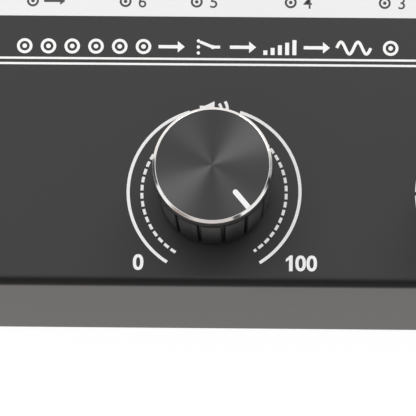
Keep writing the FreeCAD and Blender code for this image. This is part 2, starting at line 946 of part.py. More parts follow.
def common_ring(x, seat):
    """Ring round the shaft, joined to the common contact, which lies towards twelve o'clock here."""
    half = contact_width / 2
    top = seat + contact_strip
    start = dial_y + common_inner + common_width / 2
    arm = block(x - half, x + half, start, dial_y + contact_radius, seat, top)
    return fused([ring(x, dial_y, seat, top, common_inner + common_width, common_inner), arm])


def selector_fixed_contacts():
    x = dial_x["selector"]
    contacts = []
    for deck in range(deck_count):
        seat = deck_floor(deck)
        contact = upper_contact(x, seat) if deck == 0 else lower_contact(x, seat)
        for clock in selector_clocks:
            contacts.append(turned(contact, x, dial_y, clock))
        contacts.append(turned(fused([contact, common_ring(x, seat)]), x, dial_y, common_clock))
    return contacts


def selector_rear_cover():
    top = deck_top(deck_count)
    bottom = top - deck_rear_cover
    cover = disc(dial_x["selector"], dial_y, bottom, top, selector_radius)
    return cover.makeFillet(deck_rear_rim, lowest(cover)).cut(lower_pin_holes(bottom, top))


def deck_rotor_top(deck):
    return deck_top(deck) - rotor_gap


def selector_rotors():
    x = dial_x["selector"]
    rotors = []
    for deck in range(deck_count):
        top = deck_rotor_top(deck)
        bottom = top - deck_rotor
        rotor = disc(x, dial_y, bottom, top, deck_rotor_radius)
        rotors.append(rotor.cut(drive(x, bottom - REACH_PAST, top + REACH_PAST, selector_first)))
    return rotors


def selector_moving_contacts():
    """A leaf under each rotor that joins the common ring to one fixed contact."""
    x = dial_x["selector"]
    half = bridge_width / 2
    near = dial_y + common_inner + (common_width - bridge_foot) / 2
    far = dial_y + contact_radius + bridge_foot / 2
    pieces = []
    for deck in range(deck_count):
        top = deck_rotor_top(deck) - deck_rotor
        tip = deck_floor(deck) + contact_strip + running_gap
        leaf = block(x - half, x + half, near, far, top - wiper_leaf, top)
        foot_near = block(x - half, x + half, near, near + bridge_foot, tip, top)
        foot_far = block(x - half, x + half, far - bridge_foot, far, tip, top)
        pieces.append(turned(fused([leaf, foot_near, foot_far]), x, dial_y, selector_first))
    return pieces


# Rear sockets


def sockets():
    """Every phono socket's axis: x, z, and which way its solder pin lies, with the upper one as 1."""
    places = []
    for x in pair_x.values():
        places.append((x, socket_heights[0], -1))
        places.append((x, socket_heights[1], 1))
    return places


def housing_back_y():
    return rear_inner_y - pair_depth


def strap_slot(x):
    """The ground strap's place beside both sleeves of a pair, down to under the board."""
    y0 = rear_inner_y - sleeve_seat
    x0 = x + root_radius
    return block(x0, x0 + solder_pin_thickness, y0, y0 + strap_width,
                 board_under - solder_pin_length, socket_heights[1] + strap_width)


def jack_housing(x):
    """Moulded body behind the rear wall, with a stepped well for each socket."""
    y0, y1 = housing_back_y(), rear_inner_y
    half = pair_width / 2
    body = block(x - half, x + half, y0, y1, board_top, board_top + pair_height)
    back_corners = edges_where(body, lambda b: b.ZLength > pair_height / 2 and b.YMax < y0 + 0.01)
    body = body.makeChamfer(pair_chamfer, back_corners)
    screw_end = rear_y - jack_screw_length
    cuts = [strap_slot(x), rod(x, socket_middle, screw_end, y1 + REACH_PAST, jack_screw_radius)]
    for z in socket_heights:
        cuts.append(rod(x, z, y1 - sleeve_seat, y1 + REACH_PAST, root_radius))
        cuts.append(rod(x, z, y0 + pair_wall, y1, contact_tube_outer))
        cuts.append(rod(x, z, y0 - REACH_PAST, y1, contact_rod_radius))
    return body.cut(cuts)


def jack_sleeves():
    """Outer contacts, with a wider root that fills the housing's seat and the hole in the rear wall."""
    y0, y1 = rear_inner_y - sleeve_seat, rear_y + jack_reach
    sleeves = []
    for x, z, _way in sockets():
        sleeve = rod(x, z, y0, y1, sleeve_radius)
        sleeve = sleeve.makeChamfer(sleeve_chamfer, rearmost(sleeve))
        sleeve = sleeve.fuse(rod(x, z, y0, rear_y, root_radius))
        sleeves.append(sleeve.cut(rear_hole(x, z, y0, y1, sleeve_radius - sleeve_wall)))
    return sleeves


def insulators(wanted):
    """The coloured plugs inside the sleeves, of the upper or of the lower sockets."""
    y0 = rear_inner_y - sleeve_seat
    y1 = rear_y + jack_reach - insulator_recess
    pieces = []
    for x, z, way in sockets():
        if way != wanted:
            continue
        piece = rod(x, z, y0, y1, sleeve_radius - sleeve_wall)
        piece = piece.makeChamfer(sleeve_chamfer, rearmost(piece))
        well = rod(x, z, y0 - REACH_PAST, y1 - insulator_lip, contact_tube_outer)
        pieces.append(piece.cut([well, rear_hole(x, z, y0, y1, pin_bore_radius)]))
    return pieces


def jack_centre_contacts():
    """Spring tube, rod through the housing's back and a strip down into the circuit board."""
    front = rear_y + jack_reach - insulator_recess - insulator_lip
    back = front - contact_tube_length
    floor = back + contact_tube_wall
    plate_y = housing_back_y() - solder_pin_thickness
    half = solder_pin_width / 2
    pieces = []
    for x, z, way in sockets():
        shell = rod(x, z, back, front, contact_tube_outer)
        shell = shell.cut(rod(x, z, floor, front + REACH_PAST, contact_tube_inner))
        stem = rod(x, z, plate_y, floor, contact_rod_radius)
        side = x + way * solder_pin_spread
        arm = block(x - way * half, side + way * half, plate_y, housing_back_y(), z - half, z + half)
        pin = block(side - half, side + half, plate_y, housing_back_y(),
                    board_under - solder_pin_length, z + half)
        pieces.append(fused([shell, stem, arm, pin]))
    return pieces


def board_slots():
    """Slots in the board for the centre contacts' strips and the ground straps."""
    plate_y = housing_back_y() - solder_pin_thickness
    half = solder_pin_width / 2
    slots = [strap_slot(x) for x in pair_x.values()]
    for x, _z, way in sockets():
        side = x + way * solder_pin_spread
        slots.append(block(side - half, side + half, plate_y, housing_back_y(),
                           board_under - REACH_PAST, board_top + REACH_PAST))
    return slots


def jack_screws():
    screw = pan_screw(jack_screw_radius, jack_screw_length, jack_screw_head_radius, jack_screw_head_height)
    screw.rotate(point(0, 0, 0), point(1, 0, 0), 90)
    return [moved(screw, x, rear_y, socket_middle) for x in pair_x.values()]


def aux_back_y():
    return rear_inner_y - aux_body_depth


def aux_lugs():
    """The flat lugs that leave the 3.5 mm socket's back, one for each lead."""
    y = aux_back_y()
    z = socket_middle - aux_lug_drop
    lug = block(-aux_lug_width / 2, aux_lug_width / 2, y - aux_lug_length, y + aux_lug_root,
                z - aux_lug_thickness / 2, z + aux_lug_thickness / 2)
    return [moved(lug, aux_x + step * aux_lug_spread, 0, 0) for step in (-1, 0, 1)]


def aux_jack_body():
    y0, y1 = aux_back_y(), rear_inner_y
    body = block(aux_x - aux_body_width / 2, aux_x + aux_body_width / 2, y0, y1,
                 socket_middle - aux_body_height / 2, socket_middle + aux_body_height / 2)
    body = body.makeChamfer(aux_body_chamfer, edges_where(body, lambda b: b.YLength > aux_body_depth / 2))
    bore = rod(aux_x, socket_middle, y0 + aux_back_wall, y1 + REACH_PAST, aux_bore_radius + aux_bore_spare)
    return body.cut([bore] + aux_lugs())


def aux_jack_nose():
    """Threaded nose with the plug's bore at its mouth and a little more room behind that."""
    end = rear_y + aux_nose_reach
    nose = rod(aux_x, socket_middle, rear_inner_y, end, aux_nose_radius)
    nose = nose.makeChamfer(aux_nose_chamfer, rearmost(nose))
    back = rod(aux_x, socket_middle, rear_inner_y - REACH_PAST, end - aux_bore_lip,
               aux_bore_radius + aux_bore_spare)
    return nose.cut([rear_hole(aux_x, socket_middle, rear_inner_y, end, aux_bore_radius), back])


def aux_jack_nut():
    """Round nut with a slot across its face."""
    end = rear_y + aux_nut_height
    reach = aux_nut_radius + REACH_PAST
    half = aux_nut_slot_width / 2
    slot = block(aux_x - reach, aux_x + reach, end - aux_nut_slot_depth, end + REACH_PAST,
                 socket_middle - half, socket_middle + half)
    return tube(aux_x, socket_middle, rear_y, end, aux_nut_radius, aux_nose_radius).cut(slot)


def circuit_board():
    x0 = left_x + sheet + board_margin
    x1 = pair_x["input_1"] + pair_width / 2 + board_margin
    plate = block(x0, x1, board_rear_y - board_depth, board_rear_y, board_under, board_top)
    holes = [hole(x, y, board_under, board_top, lead_hole_radius) for x, y in lead_feet()]
    return plate.cut(board_slots() + holes)


# Leads from the board to the controls, each in one upright plane


def toward(start, end):
    """Unit direction from one (y, z) place to another."""
    dy, dz = end[0] - start[0], end[1] - start[1]
    length = math.hypot(dy, dz)
    return dy / length, dz / length


def lead(x, places):
    """Round lead through (y, z) places, straight runs joined by quarter bends."""
    edges = []
    here = places[0]
    for before, corner, after in zip(places, places[1:], places[2:]):
        into = toward(before, corner)
        away = toward(corner, after)
        pull = lead_bend * (1 - math.sqrt(0.5))
        start = (corner[0] - into[0] * lead_bend, corner[1] - into[1] * lead_bend)
        middle = (corner[0] + (away[0] - into[0]) * pull, corner[1] + (away[1] - into[1]) * pull)
        end = (corner[0] + away[0] * lead_bend, corner[1] + away[1] * lead_bend)
        edges.append(Part.LineSegment(point(x, *here), point(x, *start)).toShape())
        edges.append(Part.Arc(point(x, *start), point(x, *middle), point(x, *end)).toShape())
        here = end
    edges.append(Part.LineSegment(point(x, *here), point(x, *places[-1])).toShape())
    first = toward(places[0], places[1])
    profile = Part.Wire(Part.makeCircle(lead_radius, point(x, *places[0]), point(0, first[0], first[1])))
    return Part.Wire(edges).makePipeShell([profile], True, False)


def volume_lead_routes():
    """From each terminal's tip to the rear and down, the upper gang's leads behind the lower gang's."""
    x = dial_x["volume"]
    tip = dial_y + volume_side / 2 + volume_wafer_tail + terminal_reach
    routes = []
    for gang in range(volume_gangs):
        height = gang_floor(gang) + terminal_thickness / 2
        row = lead_rows[-1 - gang]
        for step in (-1, 0, 1):
            routes.append((x + step * terminal_pitch, [(tip, height), (row, height), (row, board_top)]))
    return routes


def selector_lead_routes():
    """Down from each contact, then to the rear: the rear half of each deck above and behind the rest."""
    high_run = contact_tip() - lead_bend - lead_straight
    routes = []
    for deck in range(deck_count):
        radius = contact_outer_radius - contact_strip / 2 if deck == 0 else contact_radius
        for clock in selector_clocks + [common_clock]:
            px, py = polar(dial_x["selector"], dial_y, radius, clock)
            behind = py > dial_y or (clock == common_clock and deck > 0)
            height = high_run if behind else high_run - lead_layer
            row = lead_rows[1] if behind else lead_rows[0]
            routes.append((px, [(py, contact_tip()), (py, height), (row, height), (row, board_top)]))
    return routes


def aux_lead_routes():
    tip = aux_back_y() - aux_lug_length
    height = socket_middle - aux_lug_drop
    row = tip - lead_bend - lead_straight
    return [(aux_x + step * aux_lug_spread, [(tip, height), (row, height), (row, board_top)])
            for step in (-1, 0, 1)]


def lead_feet():
    """Where each lead meets the board."""
    routes = volume_lead_routes() + selector_lead_routes() + aux_lead_routes()
    return [(x, places[-1][0]) for x, places in routes]


def leads(routes):
    return [lead(x, places) for x, places in routes]


def save_control(side, plate_height, drive_bottom, clock):
    """The pieces that both controls have, each at its own dial."""
    save(side + "_lock_washer", lock_washer(side))
    save(side + "_nut", panel_nut(side))
    save(side + "_shaft", shaft(side, plate_height, drive_bottom, clock))
    save(side + "_retaining_ring", retaining_ring(side, clock))
    save(side + "_knob_body", knob_body(side, clock))
    save(side + "_knob_cap", knob_cap(side, clock))


os.makedirs("parts", exist_ok=True)

save("upper_shell", upper_shell())
save("base_plate", base_plate())
save("base_screws", base_screws())
save("rubber_feet", rubber_feet())

save_control("volume", volume_plate, gang_top(volume_gangs) + rotor_gap, volume_clock)
save("volume_bushing", volume_bushing())
save("volume_housings", volume_housings())
save("volume_track_boards", volume_track_boards())
save("volume_tracks", volume_tracks())
save("volume_terminals", volume_terminals())
save("volume_rear_cover", volume_rear_cover())
save("volume_rotors", volume_rotors())
save("volume_wipers", volume_wipers())

save_control("selector", selector_plate, deck_top(deck_count) + rotor_gap, selector_first)
save("selector_bushing", selector_bushing())
save("selector_detent_housing", selector_detent_housing())
save("selector_detent_rotor", selector_detent_rotor())
save("selector_detent_balls", selector_detent_balls())
save("selector_detent_springs", selector_detent_springs())
save("selector_spacers", selector_spacers())
save("selector_wafers", selector_wafers())
save("selector_fixed_contacts", selector_fixed_contacts())
save("selector_rear_cover", selector_rear_cover())
save("selector_rotors", selector_rotors())
save("selector_moving_contacts", selector_moving_contacts())

for pair, pair_place in pair_x.items():
    save(pair + "_jacks", jack_housing(pair_place))
save("jack_sleeves", jack_sleeves())
save("upper_insulators", insulators(1))
save("lower_insulators", insulators(-1))
save("jack_centre_contacts", jack_centre_contacts())
save("jack_ground_straps", [strap_slot(x) for x in pair_x.values()])
save("jack_screws", jack_screws())
save("aux_jack_body", aux_jack_body())
save("aux_jack_nose", aux_jack_nose())
save("aux_jack_nut", aux_jack_nut())
save("aux_jack_contacts", aux_lugs())
save("circuit_board", circuit_board())

save("volume_leads", leads(volume_lead_routes()))
save("selector_leads", leads(selector_lead_routes()))
save("aux_jack_leads", leads(aux_lead_routes()))
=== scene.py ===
"""Looks of an audio source selector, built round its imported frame. Lengths are in metres."""

import json
import math

import bmesh
import bpy
from mathutils import Matrix, Vector


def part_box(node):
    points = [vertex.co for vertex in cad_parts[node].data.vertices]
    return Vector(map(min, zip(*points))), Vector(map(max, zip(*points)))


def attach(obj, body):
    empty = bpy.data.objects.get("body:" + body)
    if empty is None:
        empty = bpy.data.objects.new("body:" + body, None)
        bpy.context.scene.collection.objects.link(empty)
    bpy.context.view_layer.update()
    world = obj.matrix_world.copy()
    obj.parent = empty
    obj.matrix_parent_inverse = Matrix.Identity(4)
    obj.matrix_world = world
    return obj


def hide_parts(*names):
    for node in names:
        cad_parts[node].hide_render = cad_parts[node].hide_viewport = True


bl_info = {
    "name": "Audio source selector",
    "version": (1, 0, 0),
    "blender": (4, 5, 0),
    "location": "View3D > Sidebar > Selector",
    "description": "Dresses the frame of an audio source selector and sets up its studio",
    "category": "Object",
}

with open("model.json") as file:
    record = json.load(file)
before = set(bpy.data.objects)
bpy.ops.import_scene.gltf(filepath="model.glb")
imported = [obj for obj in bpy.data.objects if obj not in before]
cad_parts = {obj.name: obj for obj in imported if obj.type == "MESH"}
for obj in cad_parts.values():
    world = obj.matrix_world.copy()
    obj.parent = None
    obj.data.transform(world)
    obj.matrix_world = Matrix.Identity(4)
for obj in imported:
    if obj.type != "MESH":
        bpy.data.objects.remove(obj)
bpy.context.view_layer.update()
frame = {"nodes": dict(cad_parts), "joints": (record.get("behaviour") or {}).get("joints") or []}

MM = 0.001
PANEL_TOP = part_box("upper_shell")[1].z
CAP_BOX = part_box("volume_knob_cap")
BODY_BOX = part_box("volume_knob_body")
CAP_RADIUS = (CAP_BOX[1].x - CAP_BOX[0].x) / 2
BODY_RADIUS = (BODY_BOX[1].x - BODY_BOX[0].x) / 2
CAP_LOW = CAP_BOX[0].z
CAP_HIGH = CAP_BOX[1].z
BODY_LOW = BODY_BOX[0].z
# The metal of the cap and bevel ends just below the pointer's paint, which is flush with the CAD solid
CAP_FACE = CAP_HIGH - 0.012 * MM
BEVEL_EDGE = 0.085 * MM
# Ink stands this high, and each dot or line lifts the shapes after it by a step, so that crossings stay clean
INK = 0.02 * MM
INK_STEP = 0.0003 * MM
DIAL = {joint["child"]: Vector(joint["pos_m"]) for joint in frame["joints"]}
VOLUME = DIAL["volume_knob"]
SOURCE = DIAL["source_knob"]
# Clock angles of the pointers at rest and of one step of the switch, in degrees
VOLUME_CLOCK = 140.0
SOURCE_CLOCK = -112.5
SOURCE_STEP = 45.0
INPUT_PAIRS = ("input_5", "input_4", "input_3", "input_2", "input_1")


# Shader building


class Signal:
    """One output socket, which sums can be written with."""

    def __init__(self, tree, socket):
        self.tree = tree
        self.socket = socket

    def __add__(self, other):
        return self.tree.sum("ADD", self, other)

    def __radd__(self, other):
        return self.tree.sum("ADD", other, self)

    def __sub__(self, other):
        return self.tree.sum("SUBTRACT", self, other)

    def __rsub__(self, other):
        return self.tree.sum("SUBTRACT", other, self)

    def __mul__(self, other):
        return self.tree.sum("MULTIPLY", self, other)

    def __rmul__(self, other):
        return self.tree.sum("MULTIPLY", other, self)

    def __truediv__(self, other):
        return self.tree.sum("DIVIDE", self, other)

    def __rtruediv__(self, other):
        return self.tree.sum("DIVIDE", other, self)

    def __gt__(self, other):
        return self.tree.sum("GREATER_THAN", self, other)

    def __lt__(self, other):
        return self.tree.sum("LESS_THAN", self, other)


class Outputs:
    """A node's outputs, by name or number."""

    def __init__(self, tree, node):
        self.tree = tree
        self.node = node

    def __getitem__(self, key):
        return Signal(self.tree, self.node.outputs[key])


class NodeTree:
    """Adds nodes to one tree and links them."""

    def __init__(self, tree):
        self.tree = tree
        tree.nodes.clear()

    def node(self, kind, settings=None, values=None):
        """A new node from its type, its settings and the values or links of its sockets."""
        made = self.tree.nodes.new(kind)
        for key, value in (settings or {}).items():
            if key == "stops":
                self.set_stops(made.color_ramp, value)
            else:
                setattr(made, key, value)
        for key, value in (values or {}).items():
            if isinstance(value, Signal):
                self.tree.links.new(value.socket, made.inputs[key])
            else:
                made.inputs[key].default_value = value
        return Outputs(self, made)

    @staticmethod
    def set_stops(ramp, stops):
        """Gives a colour ramp its (place, colour) stops."""
        while len(ramp.elements) > 1:
            ramp.elements.remove(ramp.elements[-1])
        for index, (place, colour) in enumerate(stops):
            stop = ramp.elements[0] if index == 0 else ramp.elements.new(place)
            stop.position = place
            stop.color = opaque(colour)

    def sum(self, operation, *terms):
        """A number worked out by one Math node."""
        return self.node("ShaderNodeMath", {"operation": operation}, dict(enumerate(terms)))[0]

    def mix(self, share, first, second):
        """A colour between two colours or grey levels."""
        first, second = (colour if isinstance(colour, Signal) else opaque(colour)
                         for colour in (first, second))
        return self.node("ShaderNodeMix", {"data_type": "RGBA"}, {0: share, 6: first, 7: second})[2]

    def noise(self, place, scale, detail, roughness=0.5):
        return self.node("ShaderNodeTexNoise", None,
                         {"Vector": place, "Scale": scale, "Detail": detail, "Roughness": roughness})["Fac"]

    def between(self, share, low, high):
        """A number that runs from low to high as share runs from 0 to 1."""
        return low + (high - low) * share

    def fade(self, value, start, end):
        """A number that eases from 0 to 1 as value runs from start to end."""
        return self.node("ShaderNodeMapRange", {"interpolation_type": "SMOOTHSTEP"},
                         {"Value": value, "From Min": start, "From Max": end})[0]

    def split(self, vector):
        parts = self.node("ShaderNodeSeparateXYZ", None, {0: vector})
        return parts[0], parts[1], parts[2]

    def glow(self, colour, strength):
        """A surface that shines by itself."""
        return self.node("ShaderNodeEmission", None, {"Color": colour, "Strength": strength})[0]

    def blend(self, share, first, second):
        """One shader that turns into another as share runs from 0 to 1."""
        return self.node("ShaderNodeMixShader", None, {0: share, 1: first, 2: second})[0]


def opaque(colour):
    """A colour or a grey level, with full alpha."""
    channels = colour[:3] if hasattr(colour, "__len__") else (colour,) * 3
    return (*channels, 1.0)


def shaded(colour, factor):
    return tuple(channel * factor for channel in colour[:3])


class Finish(NodeTree):
    """A material with one principled shader, made for one of the object's own surfaces."""

    def __init__(self, name):
        self.material = bpy.data.materials.new(name)
        self.material.use_nodes = True
        super().__init__(self.material.node_tree)
        self.shader = self.node("ShaderNodeBsdfPrincipled").node
        self.node("ShaderNodeOutputMaterial", None, {"Surface": Signal(self, self.shader.outputs["BSDF"])})
        self.place = self.node("ShaderNodeTexCoord")["Object"]

    def set(self, **values):
        for key, value in values.items():
            socket = self.shader.inputs[key.replace("_", " ")]
            if isinstance(value, Signal):
                self.tree.links.new(value.socket, socket)
            else:
                socket.default_value = opaque(value) if hasattr(value, "__len__") else value

    def bump(self, height, depth):
        """Relief of the given depth from a 0 to 1 height."""
        normal = self.node("ShaderNodeBump", None, {"Strength": 1.0, "Distance": depth, "Height": height})
        self.set(Normal=normal["Normal"])


FINISHES = {}


def finish(name, make):
    """The material of that name, made once."""
    if name not in FINISHES:
        made = Finish(name)
        make(made)
        FINISHES[name] = made.material
    return FINISHES[name]


def moulded(colour, roughness, grain=0.35 * MM, depth=0.003 * MM, coat=0.0):
    """Plastic with a faint cloudiness and the fine grain of its mould."""
    def make(surface):
        cloud = surface.noise(surface.place, 180.0, 3.0)
        fine = surface.noise(surface.place, 1.0 / grain, 2.0)
        surface.set(Base_Color=surface.mix(cloud, shaded(colour, 0.82), shaded(colour, 1.14)),
                    Roughness=surface.between(fine, roughness - 0.07, roughness + 0.07), Coat_Weight=coat)
        surface.bump(fine, depth)
    return make


def plated(colour, roughness, grain=0.5 * MM, depth=0.0015 * MM):
    """Plated or rolled metal with a fine uneven polish."""
    def make(surface):
        cloud = surface.noise(surface.place, 320.0, 4.0)
        fine = surface.noise(surface.place, 1.0 / grain, 3.0)
        surface.set(Base_Color=surface.mix(cloud, shaded(colour, 0.86), shaded(colour, 1.08)),
                    Roughness=surface.between(cloud, roughness - 0.06, roughness + 0.08), Metallic=1.0)
        surface.bump(fine, depth)
    return make


def powder_coat(colour, roughness):
    """Satin powder coat with its fine orange peel."""
    def make(surface):
        peel = surface.noise(surface.place, 1.0 / (0.5 * MM), 3.0, 0.6)
        drift = surface.noise(surface.place, 22.0, 2.0)
        surface.set(Base_Color=surface.mix(drift, shaded(colour, 0.9), shaded(colour, 1.1)),
                    Roughness=surface.between(peel, roughness - 0.04, roughness + 0.04), IOR=1.5)
        surface.bump(peel, 0.0016 * MM)
    return make


def screen_ink(colour):
    """Screen print, a little uneven where the mesh left it."""
    def make(surface):
        weave = surface.noise(surface.place, 1.0 / (0.3 * MM), 2.0)
        drift = surface.noise(surface.place, 60.0, 2.0)
        surface.set(Base_Color=surface.mix(drift, shaded(colour, 0.97), colour),
                    Roughness=surface.between(weave, 0.5, 0.62))
        surface.bump(weave, 0.0008 * MM)
    return make


def spun_metal(colour, roughness, spread, line):
    """Metal faced on a lathe, with rings that far apart round the piece's own centre."""
    def make(surface):
        x, y, _z = surface.split(surface.place)
        radius = surface.sum("SQRT", x * x + y * y)
        rings = surface.node("ShaderNodeTexNoise", {"noise_dimensions": "1D"},
                             {"W": radius / line, "Scale": 1.0, "Detail": 2.0})["Fac"]
        surface.set(Base_Color=surface.mix(rings, shaded(colour, 0.9), shaded(colour, 1.1)), Metallic=1.0,
                    Roughness=surface.between(rings, roughness - 0.03, roughness + 0.03), Anisotropic=spread,
                    Anisotropic_Rotation=0.25)
        surface.bump(rings, 0.0002 * MM)
    return make


def threaded(colour, roughness, centre, radius, pitch, depth):
    """Plated metal whose outside, at the given radius from its upright axis, is cut with a thread."""
    def make(surface):
        plated(colour, roughness)(surface)
        x, y, z = surface.split(surface.place)
        right, rear = x - centre.x, y - centre.y
        turn = surface.sum("ARCTAN2", right, rear) / (2 * math.pi)
        away = surface.sum("SQRT", right * right + rear * rear)
        ridge = surface.sum("PINGPONG", z / pitch + turn, 0.5) * 2.0
        surface.bump(ridge * (away > radius - depth * 0.6), depth)
    return make


def laminate(colour, grain):
    """Pressed sheet with flecks of its paper or glass cloth."""
    def make(surface):
        stretched = surface.node("ShaderNodeMapping", None,
                                 {"Vector": surface.place, "Scale": (1.0, 3.0, 8.0)})["Vector"]
        fleck = surface.noise(stretched, 1.0 / grain, 4.0, 0.65)
        surface.set(Base_Color=surface.mix(fleck, shaded(colour, 0.7), shaded(colour, 1.25)),
                    Roughness=surface.between(fleck, 0.38, 0.55))
        surface.bump(fleck, 0.004 * MM)
    return make


def black_moulding():
    return finish("black_moulding", moulded((0.02, 0.02, 0.022), 0.5))


def spring_bronze():
    return finish("spring_bronze", plated((0.6, 0.4, 0.19), 0.3))


def white_ink(context):
    return finish("white_ink", screen_ink(context.scene.print_looks.ink))


# Mesh building


def clock_place(centre, radius, clock):
    """A point at a clock angle in degrees, clockwise from the rear as seen from above."""
    angle = math.radians(clock)
    return centre[0] + radius * math.sin(angle), centre[1] + radius * math.cos(angle)


def turn_profile(bm, profile, clocks, reach=None):
    """Turns (radius, height) pairs about the upright axis, one column for each clock angle in degrees.

    Where given, reach works out a point's radius from its pair and its clock angle.
    """
    rings = []
    for radius, height in profile:
        if radius < 1e-7:
            rings.append([bm.verts.new((0.0, 0.0, height))])
            continue
        ring = []
        for clock in clocks:
            x, y = clock_place((0.0, 0.0), reach(radius, height, clock) if reach else radius, clock)
            ring.append(bm.verts.new((x, y, height)))
        rings.append(ring)
    for below, above in zip(rings, rings[1:]):
        count = max(len(below), len(above))
        for step in range(count):
            after = (step + 1) % count
            corners = dict.fromkeys((below[step % len(below)], below[after % len(below)],
                                     above[after % len(above)], above[step % len(above)]))
            if len(corners) > 2:
                bm.faces.new(tuple(corners))


def even_clocks(count):
    return [360.0 * step / count for step in range(count)]


def rounded(profile, radius, steps=3):
    """The profile with each inner corner bent round, and a close line each side that keeps its faces flat."""
    result = [profile[0]]
    for before, corner, after in zip(profile, profile[1:], profile[2:]):
        here = Vector(corner)
        into, away = here - Vector(before), Vector(after) - here
        pull = min(radius, into.length * 0.45, away.length * 0.45)
        start, end = here - into.normalized() * pull, here + away.normalized() * pull
        result.append(tuple(start - into.normalized() * pull * 0.2))
        for step in range(steps + 1):
            share = step / steps
            result.append(tuple(start.lerp(here, share).lerp(here.lerp(end, share), share)))
        result.append(tuple(end + away.normalized() * pull * 0.2))
    result.append(profile[-1])
    return result


def slab(bm, outline, low, high):
    """A flat plate between two heights from its outline, which runs anticlockwise."""
    lower = [bm.verts.new((x, y, low)) for x, y in outline]
    upper = [bm.verts.new((x, y, high)) for x, y in outline]
    bm.faces.new(list(reversed(lower)))
    bm.faces.new(upper)
    for step in range(len(outline)):
        after = (step + 1) % len(outline)
        bm.faces.new((lower[step], lower[after], upper[after], upper[step]))


def band(bm, inner, outer, low, high, closed=False):
    """A flat strip between two lines of as many points each."""
    rows = []
    for near, far in zip(inner, outer):
        rows.append([bm.verts.new((*near, low)), bm.verts.new((*far, low)),
                     bm.verts.new((*far, high)), bm.verts.new((*near, high))])
    for here, there in zip(rows, rows[1:] + rows[:1] if closed else rows[1:]):
        for side in range(4):
            after = (side + 1) % 4
            bm.faces.new((here[side], here[after], there[after], there[side]))
    if not closed:
        bm.faces.new(rows[0])
        bm.faces.new(rows[-1])


def mesh_piece(name, bm, material, body, replaces=(), place=(0.0, 0.0, 0.0), crease=32.0):
    """One piece of the object from a finished mesh, riding on its body. Edges past the crease stay sharp."""
    bmesh.ops.remove_doubles(bm, verts=bm.verts, dist=1e-7)
    bmesh.ops.recalc_face_normals(bm, faces=bm.faces)
    mesh = bpy.data.meshes.new(name)
    bm.to_mesh(mesh)
    bm.free()
    mesh.shade_smooth()
    mesh.set_sharp_from_angle(angle=math.radians(crease))
    mesh.materials.append(material)
    piece = bpy.data.objects.new(name, mesh)
    piece.location = place
    bpy.context.scene.collection.objects.link(piece)
    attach(piece, body)
    if replaces:
        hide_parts(*replaces)


def middle_x(node):
    """Where a CAD node's middle lies from side to side."""
    low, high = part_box(node)
    return (low.x + high.x) / 2


def dress(nodes, material):
    """Gives CAD nodes a finer material."""
    for name in nodes:
        slots = frame["nodes"][name].data.materials
        if not slots:
            slots.append(material)
        for index in range(len(slots)):
            slots[index] = material


# Screen print


